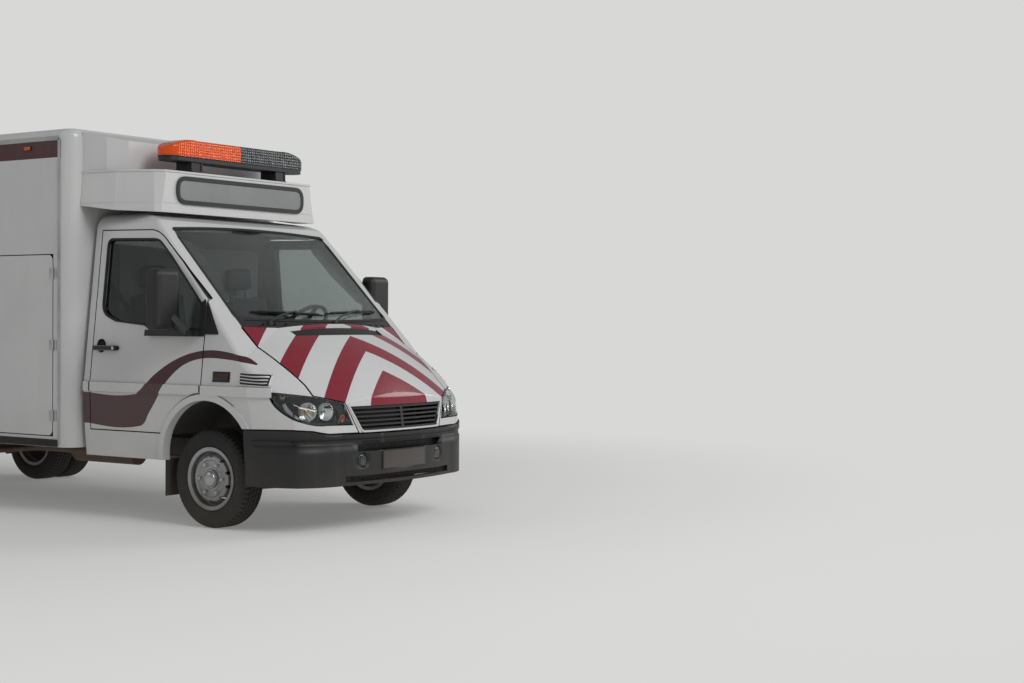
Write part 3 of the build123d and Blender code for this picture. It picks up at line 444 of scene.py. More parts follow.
def makeScratches():
    # the drawn grain and stains of metal
    tree, given, result = startGroup(
        "metalGrain", [("Scale", "Float", 40.0)], [("Height", "Float"), ("Stain", "Float")])
    coords = placeOn(tree)[0]
    drawn = put(tree, "Mapping", {"Vector": coords, "Scale": (1.0, 9.0, 9.0)}).outputs[0]
    lines = put(tree, "TexNoise", {"Vector": drawn, "Scale": given.outputs["Scale"], "Detail": 5.0})
    stain = put(tree, "TexNoise", {"Vector": coords, "Scale": 9.0, "Detail": 8.0, "Roughness": 0.65})
    tree.links.new(lines.outputs[0], result.inputs["Height"])
    tree.links.new(spread(tree, stain.outputs[0], 0.52, 0.68), result.inputs["Stain"])
    return tree


def makeLensRibs():
    # the vertical flutes of a lamp lens
    tree, given, result = startGroup("lensRibs", [("Pitch", "Float", 90.0)], [("Height", "Float")])
    coords = placeOn(tree)[0]
    down = put(tree, "TexWave", {"Vector": coords, "Scale": given.outputs["Pitch"]}, bands_direction="Y")
    level = put(tree, "TexWave", {"Vector": coords, "Scale": given.outputs["Pitch"]}, bands_direction="Z")
    flutes = calc(tree, "MULTIPLY_ADD", level.outputs[1], 0.35, down.outputs[1])
    tree.links.new(flutes, result.inputs["Height"])
    return tree


groups = {
    "film": makeRoadFilm(), "inner": makeInnerSide(), "hood": makeHoodStripes(), "swoosh": makeSideStripe(),
    "band": makeBoxBand(), "grain": makeMouldedGrain(), "weave": makeWeave(), "metal": makeScratches(),
    "ribs": makeLensRibs(), "edge": makePanelEdgeShade(),
}

dustColor = tone(122, 112, 100)


def shade(color, share):
    # a darker tone of a linear colour
    return tuple(c * share for c in color[:3]) + (1.0,)


def startMaterial(film):
    # a material with its shader, and the outputs of the road film on it
    material = bpy.data.materials.new("finish")
    material.use_nodes = True
    tree = material.node_tree
    filmNode = put(tree, "Group", dict(zip(("Top", "Bottom", "Streaks"), film)), node_tree=groups["film"])
    return material, tree, tree.nodes["Principled BSDF"], filmNode.outputs


def makeFinish(color, second=None, roughness=0.4, metallic=0.0, coat=0.0, film=(1.0, 0.2, 0.25), dust=0.35,
               ripple=0.0, marks=(), inside=None, edges=None, texture=None, bump=0.3, distance=0.001):
    # one shader for opaque surfaces: two clouded tones, stripes, dust, a tone on inner faces that is lining or
    # painted shade, cut edges painted near black as shade, and the surface's own texture
    material, tree, shader, filmParts = startMaterial(film)
    color = tone(*color)
    shader.inputs["Metallic"].default_value = metallic
    shader.inputs["Coat Weight"].default_value = coat
    cloud = spread(tree, filmParts["Cloud"], 0.35, 0.7)
    base = mixColor(tree, cloud, color, tone(*second) if second else shade(color, 0.88))
    for kind, paint in marks:
        mask = put(tree, "Group", node_tree=groups[kind]).outputs["Mask"]
        base = mixColor(tree, mask, base, tone(*paint))
    height = filmParts["Fine"]
    if texture:
        kind, scale = texture
        textureNode = put(tree, "Group", node_tree=groups[kind])
        textureNode.inputs[0].default_value = scale
        height = textureNode.outputs["Height"]
        if kind in ("weave", "metal"):
            share = calc(tree, "MULTIPLY", textureNode.outputs[1], 0.55)
            base = mixColor(tree, share, base, shade(color, 0.6))
    base = mixColor(tree, calc(tree, "MULTIPLY", filmParts["Dust"], dust), base, dustColor)
    rough = calc(tree, "MULTIPLY_ADD", filmParts["Dust"], 0.45 * dust + 0.05, roughness)
    grain = spread(tree, filmParts["Fine"], 0.3, 0.7, -0.03, 0.03)
    rough = calc(tree, "MULTIPLY_ADD", grain, 1.0, rough, clamp=True)
    # inner faces take their own tone: real lining in the box and locker; near black on the hood, as painted
    # shade behind the grille; in the cab dark trim, made darker as painted shade in the door gaps
    if inside:
        centre, liningAndShade = inside
        turned = put(tree, "Group", {"Centre": at(*centre)}, node_tree=groups["inner"]).outputs["Mask"]
        base = mixColor(tree, turned, base, tone(*liningAndShade))
        rough = put(tree, "Mix", {0: turned, 2: rough, 3: 0.7}).outputs[0]
    # painted shade: the cut edges are painted near black, so that the gaps round the panel look shaded
    if edges:
        across, band = edges
        cut = put(tree, "Group", {"Across": across}, node_tree=groups["edge"]).outputs[band]
        base = mixColor(tree, cut, base, tone(16, 16, 17))
    tree.links.new(base, shader.inputs["Base Color"])
    tree.links.new(rough, shader.inputs["Roughness"])
    normal = put(tree, "Bump", {"Strength": bump, "Distance": distance, "Height": height}).outputs[0]
    if ripple:
        coords = placeOn(tree)[0]
        waves = put(tree, "TexNoise", {"Vector": coords, "Scale": 1.9, "Detail": 1.0, "Distortion": 0.4})
        sockets = {"Strength": 1.0, "Distance": ripple, "Height": waves.outputs[0], "Normal": normal}
        normal = put(tree, "Bump", sockets).outputs[0]
    tree.links.new(normal, shader.inputs["Normal"])
    return material


def makeGlass(color, roughness=0.02, transmission=1.0, ribs=0.0, strength=0.4, film=(1.6, 0.2, 0.25),
              dust=0.25):
    # clear and coloured glass and lenses
    material, tree, shader, filmParts = startMaterial(film)
    color = tone(*color)
    shader.inputs["Transmission Weight"].default_value = transmission
    shader.inputs["IOR"].default_value = 1.45
    base = mixColor(tree, calc(tree, "MULTIPLY", filmParts["Dust"], dust), color, shade(color, 0.75))
    rough = calc(tree, "MULTIPLY_ADD", filmParts["Dust"], dust * 0.3, roughness)
    tree.links.new(base, shader.inputs["Base Color"])
    tree.links.new(rough, shader.inputs["Roughness"])
    if ribs:
        flutes = put(tree, "Group", {"Pitch": ribs}, node_tree=groups["ribs"]).outputs["Height"]
        normal = put(tree, "Bump", {"Strength": strength, "Distance": 0.002, "Height": flutes}).outputs[0]
        tree.links.new(normal, shader.inputs["Normal"])
    return material


# Finishes

bodyWhite = (200, 200, 199)
paintLook = dict(second=(195, 195, 195), roughness=0.3, coat=0.3, film=(1.0, 0.2, 0.22), dust=0.22,
                 ripple=0.006, bump=0.015, distance=0.0003)
boxMiddle = (-3000, 0, 1700)
# the cab's inner faces: dark trim, painted darker still as shade in the door gaps
cabSkin = dict(marks=[("swoosh", sideStripe["color"])], inside=((-450, 0, 1300), (46, 47, 48)), **paintLook)
boxSkin = dict(marks=[("band", boxBand["color"])], inside=(boxMiddle, (176, 178, 176)), **paintLook)
lensLook = dict(roughness=0.12, transmission=0.5, ribs=26.0, strength=0.5)
beaconLook = dict(roughness=0.12, ribs=16.0, strength=0.5)

finish = {
    "cabPaint": makeFinish(bodyWhite, **cabSkin),
    # doors, hood, locker and rear doors: their cut edges are painted near black as painted shade in the gaps
    "doorPaint": makeFinish(bodyWhite, edges=((0, 1, 0), "Low"), **cabSkin),
    # the hood's inner faces are painted near black: painted shade, seen through the grille
    "hoodPaint": makeFinish(bodyWhite, marks=[("hood", hoodStripes["color"])],
        inside=((200, 0, 600), (30, 30, 30)), edges=((0, 1, 0), "High"), **paintLook),
    "boxPaint": makeFinish(bodyWhite, **boxSkin),
    "lockerPaint": makeFinish(bodyWhite, inside=(boxMiddle, (150, 152, 151)), edges=((0, 1, 0), "Low"),
        **paintLook),
    "rearDoorPaint": makeFinish(bodyWhite, edges=((1, 0, 0), "Low"), **boxSkin),
    "plainPaint": makeFinish(bodyWhite, **paintLook),
    "roofPaint": makeFinish(bodyWhite, **{**boxSkin, "roughness": 0.6, "coat": 0.0}),
    "blackTrim": makeFinish((22, 22, 23), (28, 28, 28), roughness=0.5, texture=("grain", 420.0), bump=0.2,
        distance=0.0005, film=(0.9, 0.2, 0.2), dust=0.12),
    "bumperPlastic": makeFinish((20, 20, 21), (26, 26, 26), roughness=0.48, texture=("grain", 300.0),
        bump=0.15, distance=0.0005, film=(0.7, 0.2, 0.25), dust=0.12),
    "rubber": makeFinish((16, 16, 16), (22, 22, 22), roughness=0.68, texture=("grain", 520.0), bump=0.2,
        distance=0.0004, film=(0.9, 0.2, 0.2), dust=0.1),
    "tyreRubber": makeFinish((22, 22, 22), (31, 30, 29), roughness=0.75, texture=("grain", 360.0), bump=0.35,
        distance=0.0008, film=(0.7, 0.0, 0.3), dust=0.22),
    "wheelSilver": makeFinish((176, 178, 178), (150, 151, 150), roughness=0.36, metallic=0.75,
        texture=("metal", 30.0), bump=0.08, film=(0.75, 0.1, 0.25), dust=0.5),
    "castIron": makeFinish((52, 50, 48), (74, 62, 52), roughness=0.7, metallic=0.35,
        texture=("grain", 160.0), bump=0.6, distance=0.001, film=(0.7, 0.0, 0.2), dust=0.6),
    "chassisBlack": makeFinish((30, 30, 30), (46, 42, 38), roughness=0.6, texture=("grain", 90.0),
        film=(0.8, 0.1, 0.3), dust=0.6),
    "springSteel": makeFinish((58, 54, 50), (84, 66, 52), roughness=0.62, metallic=0.5,
        texture=("metal", 60.0), film=(0.7, 0.0, 0.2), dust=0.6),
    "exhaustSteel": makeFinish((120, 112, 104), (110, 84, 62), roughness=0.5, metallic=0.8,
        texture=("metal", 24.0), film=(0.7, 0.0, 0.2), dust=0.5),
    "tankPlastic": makeFinish((28, 28, 29), roughness=0.55, texture=("grain", 200.0), film=(0.7, 0.1, 0.3),
        dust=0.6),
    "engineIron": makeFinish((112, 113, 112), (86, 84, 80), roughness=0.6, metallic=0.4,
        texture=("grain", 120.0), bump=0.5, film=(0.9, 0.2, 0.2)),
    "floorMat": makeFinish((48, 49, 50), roughness=0.8, texture=("grain", 150.0), bump=0.5,
        film=(0.9, 0.5, 0.1)),
    "dashPlastic": makeFinish((86, 87, 89), (76, 77, 79), roughness=0.62, texture=("grain", 380.0),
        bump=0.35, distance=0.0006, film=(0.6, 0.4, 0.05)),
    "seatCloth": makeFinish((78, 81, 90), (64, 67, 76), roughness=0.9, texture=("weave", 260.0), bump=0.6,
        distance=0.001, film=(0.6, 0.4, 0.05), dust=0.1),
    "brightSteel": makeFinish((196, 198, 198), (170, 172, 172), roughness=0.22, metallic=1.0,
        texture=("metal", 60.0), bump=0.05, film=(0.9, 0.2, 0.2), dust=0.25),
    "aluminium": makeFinish((186, 187, 186), (168, 170, 169), roughness=0.36, metallic=0.7,
        texture=("metal", 80.0), bump=0.1, film=(1.0, 0.3, 0.35), dust=0.3),
    "signGrey": makeFinish((128, 131, 132), (116, 119, 120), roughness=0.42, film=(2.6, 2.0, 0.4)),
    "plateDark": makeFinish((66, 61, 60), roughness=0.35, film=(0.6, 0.3, 0.2)),
    "boxFloorVinyl": makeFinish((118, 122, 124), (98, 102, 104), roughness=0.45, texture=("grain", 120.0),
        bump=0.3, film=(0.9, 0.5, 0.1)),
    "windscreenGlass": makeGlass((206, 214, 211), film=(1.7, 1.3, 0.15), dust=0.12),
    "doorGlass": makeGlass((158, 166, 164), film=(1.6, 1.2, 0.2)),
    "frostedGlass": makeGlass((170, 176, 178), roughness=0.34, transmission=0.75),
    "lensClear": makeGlass((232, 236, 236), roughness=0.02, film=(0.95, 0.6, 0.15), dust=0.1),
    "lensAmber": makeGlass((255, 98, 30), transmission=0.4, **beaconLook),
    "lensDark": makeGlass((82, 88, 88), transmission=0.65, **beaconLook),
    "lensRed": makeGlass((176, 20, 20), **lensLook),
    "lampBlack": makeFinish((22, 22, 23), roughness=0.35, film=(0.6, 0.2, 0.0)),
    "mirrorGlass": makeFinish((196, 202, 206), roughness=0.03, metallic=1.0, bump=0.0, film=(2.0, 1.2, 0.2),
        dust=0.06),
    "liningBoard": makeFinish((150, 151, 148), (142, 143, 141), roughness=0.75, texture=("grain", 260.0),
        bump=0.2, film=(0.6, 0.4, 0.0)),
    "beltWebbing": makeFinish((30, 31, 33), roughness=0.85, texture=("weave", 500.0), bump=0.5,
        film=(0.6, 0.4, 0.0)),
    "mudRubber": makeFinish((26, 26, 26), (40, 37, 34), roughness=0.8, texture=("grain", 200.0),
        film=(0.7, 0.1, 0.4), dust=0.5),
    "lensWhite": makeGlass((226, 228, 226), **lensLook),
    "fogGlass": makeGlass((92, 96, 96), roughness=0.06, transmission=0.8, ribs=40.0, strength=0.3),
    "reflector": makeFinish((214, 216, 218), (226, 228, 230), roughness=0.1, metallic=1.0,
        texture=("ribs", 18.0), bump=0.35, distance=0.002, film=(0.6, 0.2, 0.0), dust=0.05),
    "bulbGlass": makeGlass((236, 206, 160), roughness=0.15, transmission=0.6),
    "cornerAmber": makeGlass((240, 118, 44), roughness=0.15, transmission=0.4, ribs=30.0, strength=0.6),
    "lensSmoked": makeGlass((74, 50, 44), roughness=0.1, transmission=0.5, ribs=40.0, strength=0.4),
    "lensOrange": makeGlass((232, 120, 20), **lensLook),
}
for name, material in finish.items():
    material.name = name
print("finishes made,", len(finish))

# which finish each CAD node gets
nodeFinish = {
    "cabPaint": "cab_shell",
    "doorPaint": "door_left door_right",
    "hoodPaint": "hood",
    "boxPaint": "box_front_wall box_side_left box_side_right box_rear_frame",
    "roofPaint": "box_roof",
    "rearDoorPaint": "rear_door_left rear_door_right",
    "lockerPaint": "locker_door",
    "plainPaint": "fairing",
    "blackTrim": "cowl hood_inlet grille mirror_left mirror_right light_bar",
    "bumperPlastic": "front_bumper",
    "tyreRubber": "tyre_front_left tyre_front_right tyre_rear_left tyre_rear_right",
    "wheelSilver": "rim_front_left rim_front_right rim_rear_left rim_rear_right",
    "castIron": "front_axle rear_axle knuckle_left knuckle_right",
    "springSteel": "front_springs leaf_springs",
    "chassisBlack": "chassis_frame",
    "engineIron": "engine_block driveline",
    "lampBlack": "radiator",
    "exhaustSteel": "exhaust",
    "tankPlastic": "fuel_tank",
    "floorMat": "cab_floor",
    "dashPlastic": "dashboard steering_wheel",
    "seatCloth": "driver_seat passenger_seat",
    "boxFloorVinyl": "box_floor",
    "signGrey": "sign_panel",
    "windscreenGlass": "windscreen",
    "doorGlass": "door_glass_left door_glass_right",
    "frostedGlass": "rear_glass_left rear_glass_right",
    "lensClear": "headlamp_left headlamp_right",
    "lensAmber": "beacon_lens_right",
    "lensDark": "beacon_lens_left",
    "lensRed": "tail_lamps",
    "aluminium": "rear_step",
}
for finishName, names in nodeFinish.items():
    for name in names.split():
        node = nodes[name]
        node.data.materials.clear()
        node.data.materials.append(finish[finishName])
print("CAD nodes finished")


# Tyres and wheels

wheelPlaces = {"height": 327, "frontY": 815, "rearY": 765, "rearX": -3550, "twin": 108}
tyreLook = {
    "blocks": 58, "grooveDepth": 8.0, "skew": 0.5, "skewReach": 60,
    "crossGroove": ((0.0, 0), (0.07, 1), (0.21, 1), (0.28, 0)),  # share of a block's pitch, groove or land
    # half of the section: offset, radius, and how much of the groove depth a cross groove takes there
    "section": [
        (75.5, 192, 0), (79.5, 211, 0), (86, 221, 0), (88, 222, 0), (91, 228, 0), (93.6, 236, 0),
        (96.3, 248, 0), (97.3, 260, 0), (96.6, 272, 0), (94.8, 284, 0), (95.2, 286, 0), (93.8, 293, 0),
        (92.2, 294, 0), (89, 302, 0), (85, 310, 0.2), (80, 317, 0.9), (72, 323, 1), (62, 326, 1),
        (51, 326.6, 1),
        (49.6, 319.5, 0.1), (42.4, 319.5, 0.1), (41, 326.9, 0.8), (30, 327, 0.3), (19, 327, 0.8),
        (17.8, 319.5, 0.1), (11.2, 319.5, 0.1), (10, 327, 0.6)],
}


def addTyre(bm, centre):
    pitch = 2 * math.pi / tyreLook["blocks"]
    rows = tyreLook["section"] + [(-y, r, c) for y, r, c in reversed(tyreLook["section"])]
    rings = []
    for block in range(tyreLook["blocks"]):
        for share, cut in tyreLook["crossGroove"]:
            ring = []
            for offset, radius, depth in rows:
                lean = tyreLook["skew"] * pitch * max(-1.0, min(1.0, offset / tyreLook["skewReach"]))
                angle = (block + share) * pitch + lean
                reach = (radius - cut * depth * tyreLook["grooveDepth"]) / 1000
                spoke = Vector((reach * math.cos(angle), offset / 1000, reach * math.sin(angle)))
                ring.append(bm.verts.new(centre + spoke))
            rings.append(ring)
    for i, ring in enumerate(rings):
        other = rings[(i + 1) % len(rings)]
        for k in range(len(rows) - 1):
            bm.faces.new((ring[k], ring[k + 1], other[k + 1], other[k]))
        bm.faces.new((ring[-1], ring[0], other[0], other[-1]))


def makeTyres():
    height = wheelPlaces["height"]
    for side, sign in sides:
        bm = bmesh.new()
        addTyre(bm, at(0, sign * wheelPlaces["frontY"], height))
        tyre = makePiece("tyreTread_front_" + side, bm, "tyreRubber", "wheel_front_" + side,
                         smooth=30)
        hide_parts("tyre_front_" + side)
        bm = bmesh.new()
        for twin in (-wheelPlaces["twin"], wheelPlaces["twin"]):
            addTyre(bm, at(wheelPlaces["rearX"], sign * wheelPlaces["rearY"] + twin, height))
        tyre = makePiece("tyreTread_rear_" + side, bm, "tyreRubber", "wheels_rear_" + side,
                         smooth=30)
        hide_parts("tyre_rear_" + side)


wheelNuts = {"count": 6, "circle": 102, "acrossFlats": 27, "height": 20, "washer": 17}
hubLook = {  # where the nuts sit, and how far out from there the cap and the bright ring lie
    "front": {"body": "wheel_front_", "x": 0, "y": wheelPlaces["frontY"] + 74, "cap": 10, "ring": 0},
    "rear": {"body": "wheels_rear_", "x": wheelPlaces["rearX"], "y": wheelPlaces["rearY"] + 8, "cap": 40,
             "ring": -2},
}


def addNut(bm, centre, outward):
    flat = wheelNuts["acrossFlats"] / 2000 / math.cos(math.pi / 6)
    tall = wheelNuts["height"] / 1000
    washer = wheelNuts["washer"] / 1000
    addTurned(bm, [(-0.004, washer), (0.003, washer), (0.004, flat)], centre, outward, 18)
    addTurned(bm, [(0, flat), (tall * 0.8, flat), (tall, flat * 0.72), (tall, 0)], centre, outward, 6)


def makeWheelFittings():
    height, circle = wheelPlaces["height"], wheelNuts["circle"]
    cap = [(0.0, 0.052), (0.014, 0.05), (0.022, 0.042), (0.026, 0.02), (0.027, 0.0)]
    ring = [(-0.001, 0.078), (0.004, 0.076), (0.004, 0.07), (-0.001, 0.068)]
    for side, sign in sides:
        out = Vector((0, sign, 0))
        for axle, look in hubLook.items():
            x, y = look["x"], look["y"]
            bm = bmesh.new()
            for k in range(wheelNuts["count"]):
                angle = k * 2 * math.pi / wheelNuts["count"]
                spot = at(x + circle * math.cos(angle), sign * y, height + circle * math.sin(angle))
                addNut(bm, spot, out)
            addTurned(bm, cap, at(x, sign * (y + look["cap"]), height), out, 28)
            addTurned(bm, ring, at(x, sign * (y + look["ring"]), height), out, 36, closed=False)
            makePiece(f"hubFittings_{axle}_{side}", bm, "brightSteel", look["body"] + side)


# Headlamps, grille and bumper

# where a line towards a surface starts, clear of the vehicle, in millimetres
clearAhead, clearBeside, clearAbove = 1500, 1400, 3000

lampLook = {
    "bowls": [  # y, z, radius, how far behind the lens, turn outwards
        (-772, 788, 58, 40, 0.55), (-648, 786, 56, 44, 0.28), (-884, 880, 16, 14, 1.1)],
    "amber": [(-541, 742, 19, 20, 0.1), (-800, 728, 13, 12, 0.7)],
    "bezel": [(-893, 836), (-884, 792), (-862, 756), (-828, 732), (-788, 722)],
    "rim": [(-918, 905), (-722, 881), (-534, 836), (-481, 702), (-690, 706), (-790, 714), (-866, 744),
            (-906, 812)],
    "bowlDepth": 0.7, "lensWall": 0.003, "housingWall": 0.0015, "rimSink": 0.006, "bezelSink": 0.018,
}


def lampSkin(side, outer):
    # the faces of the lamp body that look forwards, or the ones behind them
    bm = bmesh.new()
    bm.from_mesh(nodes["headlamp_" + side].data)
    bm.normal_update()
    gone = [face for face in bm.faces if (face.normal.x > 0.04) != outer]
    bmesh.ops.delete(bm, geom=gone, context="FACES")
    return bm


def thicken(piece, wall):
    # gives an open skin its wall, inwards
    shell = piece.modifiers.new("wall", "SOLIDIFY")
    shell.thickness, shell.offset = wall, -1.0


def addBowl(bm, spot, aim, radius, depth):
    rim = [(0.004, radius * 1.06), (0.0, radius * 1.04), (-0.003, radius)]
    dish = [(-depth * (1 - (r / 6) ** 2) - 0.003, radius * r / 6) for r in (5, 4, 3, 2, 1)]
    addTurned(bm, rim + dish, spot, aim, 36, closed=False)


def makeHeadlamps():
    bulb = [(-0.03, 0.009), (-0.012, 0.01), (-0.004, 0.007), (0.0, 0.0)]
    back = (-1, 0, 0)
    for side, sign in sides:
        lens = makePiece("lampLens_" + side, lampSkin(side, True), "lensClear",
                         smooth=50)
        thicken(lens, lampLook["lensWall"])
        housing = makePiece("lampHousing_" + side, lampSkin(side, False), "lampBlack", smooth=50)
        thicken(housing, lampLook["housingWall"])
        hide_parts("headlamp_" + side)
        tree = surfaceOf("headlamp_" + side)
        bowls, bulbs, amber = bmesh.new(), bmesh.new(), bmesh.new()
        for rows, into in ((lampLook["bowls"], bowls), (lampLook["amber"], amber)):
            for y, z, radius, behind, turn in rows:
                found = drop(tree, at(clearAhead, -sign * y, z), back)
                if not found:
                    continue
                aim = Vector((math.cos(turn), sign * math.sin(turn), 0.08)).normalized()
                spot = found[0] - Vector((behind / 1000, 0, 0))
                addBowl(into, spot, aim, radius / 1000, radius / 1000 * lampLook["bowlDepth"])
                addTurned(bulbs, bulb, spot - aim * 0.004, aim, 14)
        makePiece("lampBowls_" + side, bowls, "reflector", smooth=60)
        makePiece("lampBulbs_" + side, bulbs, "bulbGlass", smooth=60)
        makePiece("lampCorner_" + side, amber, "cornerAmber", smooth=60)
        # the dark rim along the lamp's edge, and the bright bezel round its outer chamber
        bm = bmesh.new()
        outline = spaced(roundedPath(lampLook["rim"], 14), 18)
        rows = dropAll(tree, [at(clearAhead, -sign * y, z) for y, z in outline], back, -lampLook["rimSink"])
        addSwept(bm, rows, flatSection(0.016, 0.004, 0.012), closed=True)
        makePiece("lampRim_" + side, bm, "lampBlack")
        bm = bmesh.new()
        line = roundedPath(lampLook["bezel"], 40, closed=False)
        rows = dropAll(tree, [at(clearAhead, -sign * y, z) for y, z in line], back, -lampLook["bezelSink"])
        addSwept(bm, rows, [(-0.013, -0.004), (0.013, -0.004), (0.006, 0.006), (-0.006, 0.006)])
        makePiece("lampBezel_" + side, bm, "wheelSilver")


grilleLook = {"surround": [(-500, 826), (-404, 649), (404, 649), (500, 826)], "width": 13}


def makeGrilleSurround():
    tree = surfaceOf("hood", "grille")
    bm = bmesh.new()
    path = spaced(roundedPath(grilleLook["surround"], 24, closed=False), 20, closed=False)
    rows = dropAll(tree, atX(path, clearAhead), (-1, 0, 0))
    addSwept(bm, rows, flatSection(grilleLook["width"] / 1000, 0.007, 0.01))
    makePiece("grilleSurround", bm, "plainPaint", "hood")


bumperLook = {
    "plate": (224, 56), "plateX": 915, "plateZ": 455, "plateMargin": 7, "screwY": 150,
    "fogX": 874, "fogY": 400, "fogZ": 462, "fogRadius": 45, "beadZ": 594, "halfOpening": 560,
    # blocks as (x0, x1, y0, y1, z0, z1) for one side
    "endShields": [(705, 836, 446, 452, 330, 600), (700, 705, 446, 560, 330, 600)],
    "baffles": [(676, 680, 433, 482, 415, 800), (676, 680, 478, 640, 415, 708)],
}


def makeBumperSkin():
    # the bumper as drawn, its crown flattened behind the plate
    bm = bmesh.new()
    bm.from_mesh(nodes["front_bumper"].data)
    wide, tall = (size / 1000 for size in bumperLook["plate"])
    z, face = bumperLook["plateZ"] / 1000, at(bumperLook["plateX"], 0, 0).x - 0.0002
    for shrink in (0.0, 0.002):
        for side in (-1, 1):
            upright = ((0, side * (wide - shrink), 0), (0, 1, 0))
            flat = ((0, 0, z + side * (tall - shrink)), (0, 0, 1))
            for spot, normal in (upright, flat):
                parts = bm.verts[:] + bm.edges[:] + bm.faces[:]
                bmesh.ops.bisect_plane(bm, geom=parts, plane_co=spot, plane_no=normal)
    for vert in bm.verts:
        if abs(vert.co.y) < wide - 0.001 and abs(vert.co.z - z) < tall - 0.001 and vert.co.x > face:
            vert.co.x = face
    skin = makePiece("bumperSkin", bm, "bumperPlastic")
    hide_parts("front_bumper")


def makeFogLamps():
    bm, glass, bright = bmesh.new(), bmesh.new(), bmesh.new()
    r = bumperLook["fogRadius"] / 1000
    rim = [(-0.002, r + 0.004), (0.008, r + 0.003), (0.01, r), (0.006, r - 0.003), (0.0, r - 0.004)]
    lens = [(0.003, r - 0.003), (0.008, r * 0.8), (0.011, r * 0.4), (0.012, 0)]
    bowl = [(0.002, r - 0.004), (0.001, r * 0.6), (0.0015, 0.006), (0.0045, 0.005), (0.006, 0)]
    for sign in (-1, 1):
        spot = at(bumperLook["fogX"], sign * bumperLook["fogY"], bumperLook["fogZ"])
        addTurned(bm, rim, spot, (1, 0, 0), 32)
        addTurned(glass, lens, spot, (1, 0, 0), 32, closed=False)
        addTurned(bright, bowl, spot, (1, 0, 0), 24, closed=False)
    makePiece("fogRims", bm, "blackTrim")
    makePiece("fogLenses", glass, "fogGlass")
    makePiece("fogReflectors", bright, "reflector")


def makeFrontPlate():
    # a blank plate with a low rim and two screws, on its carrier
    wide, tall = bumperLook["plate"]
    x, z = bumperLook["plateX"], bumperLook["plateZ"]
    bm = bmesh.new()
    addBlock(bm, at(x - 24, -wide - 8, z - tall - 7), at(x, wide + 8, z + tall + 7), 0.003)
    makePiece("plateCarrier", bm, "blackTrim")
    bm = bmesh.new()
    addBlock(bm, at(x - 1, -wide, z - tall), at(x + 1.2, wide, z + tall), 0.0005)
    margin = bumperLook["plateMargin"]
    rim = roundedPath(centred(0, z, wide - margin, tall - margin), 10)
    addSwept(bm, [(place, Vector((1, 0, 0))) for place in atX(rim, x + 1.1)],
             flatSection(0.004, 0.0007, 0.0004), closed=True)
    screw = [(-0.001, 0.006), (0.0003, 0.006), (0.0006, 0.003), (0.0007, 0)]
    for y in (-bumperLook["screwY"], bumperLook["screwY"]):
        addTurned(bm, screw, at(x + 1.2, y, z), (1, 0, 0), 16)
    makePiece("plateBlank", bm, "plateDark")


def makeBumperFittings():
    half = bumperLook["halfOpening"]
    # mesh behind the openings, closed at its back and ends
    bm = bmesh.new()
    for z in range(325, 600, 14):
        addBlock(bm, at(838, -half, z), at(842, half, z + 4))
    for y in range(-half, half + 1, 28):
        addBlock(bm, at(835, y - 2, 322), at(838.5, y + 2, 602))
    for sign in (-1, 1):
        addBlocks(bm, bumperLook["endShields"], sign)
    addBlock(bm, at(826, -half, 326), at(829, half, 600))
    makePiece("intakeMesh", bm, "lampBlack")
    # baffles beside the radiator
    bm = bmesh.new()
    for sign in (-1, 1):
        addBlocks(bm, bumperLook["baffles"], sign, 0.001)
    makePiece("radiatorBaffles", bm, "lampBlack")
    # a low bead round the bumper below its upper step
    bm = bmesh.new()
    starts = [at(clearAhead, y, bumperLook["beadZ"]) for y in range(-half, half + 1, 20)]
    addSwept(bm, dropAll(surfaceOf("front_bumper"), starts, (-1, 0, 0)), flatSection(0.006, 0.0008, 0.002))
    makePiece("bumperBead", bm, "bumperPlastic")


# Windscreen, wipers, doors and fenders

screenEdge = {
    "width": 24, "arcParts": 40, "span": 40, "middleZ": 1688,
    "shrinkY": 0.992, "shrinkZ": 0.99, "turns": (58, 56),
    # half width, height at the ends and height in the middle
    "bottom": (727, 1377, 1363), "top": (712, 1998, 2019),
    "side": [(785, 1442), (773.5, 1938)],
    "lowTurn": [(727, 1377), (787, 1379), (785, 1440)], "highTurn": [(773, 1940), (772, 1996), (712, 1998)],
}


def arcRow(y0, y1, z0, zMid, count):
    # a shallow arc in the front view, sampled along Y
    rows = []
    for k in range(count + 1):
        y = y0 + (y1 - y0) * k / count
        rows.append((y, zMid + (z0 - zMid) * (y / abs(y0)) ** 2))
    return rows


def mirrored(rows):
    # an open path of the right half, run back along the left half
    return [(-y, z) for y, z in reversed(rows)]


def makeScreenSeal():
    parts, span = screenEdge["arcParts"], screenEdge["span"]
    lowTurn, highTurn, edge = screenEdge["lowTurn"], screenEdge["highTurn"], screenEdge["side"]
    lowRadius, highRadius = screenEdge["turns"]
    half, ends, middle = screenEdge["bottom"]
    loop = arcRow(-half, half, ends, middle, parts)
    loop += roundedPath(lowTurn, lowRadius, closed=False)[1:]
    loop += spaced(edge, span, closed=False)
    loop += roundedPath(highTurn, highRadius, closed=False)
    half, ends, middle = screenEdge["top"]
    loop += arcRow(half, -half, ends, middle, parts)[1:-1]
    loop += roundedPath(mirrored(highTurn), highRadius, closed=False)[1:]
    loop += spaced(mirrored(edge), span, closed=False)
    loop += roundedPath(mirrored(lowTurn), lowRadius, closed=False)[:-1]
    midZ = screenEdge["middleZ"]
    loop = [(y * screenEdge["shrinkY"], midZ + (z - midZ) * screenEdge["shrinkZ"]) for y, z in loop]
    rows = dropAll(surfaceOf("windscreen", "cab_shell"), atX(loop, clearAhead), (-1, 0, 0))
    bm = bmesh.new()
    addSwept(bm, rows, flatSection(screenEdge["width"] / 1000, 0.0035, 0.006), closed=True)
    makePiece("screenSeal", bm, "rubber")


wiperLook = {
    "arms": [  # pivot (x, y), blade's outer end and inner end (y, z)
        ((205, -560), (-640, 1425), (-20, 1402)), ((262, 40), (20, 1414), (690, 1432))],
    "parts": 12, "armRadius": 0.007, "lift": 0.014, "footZ": 1345, "clearZ": 2200,
}


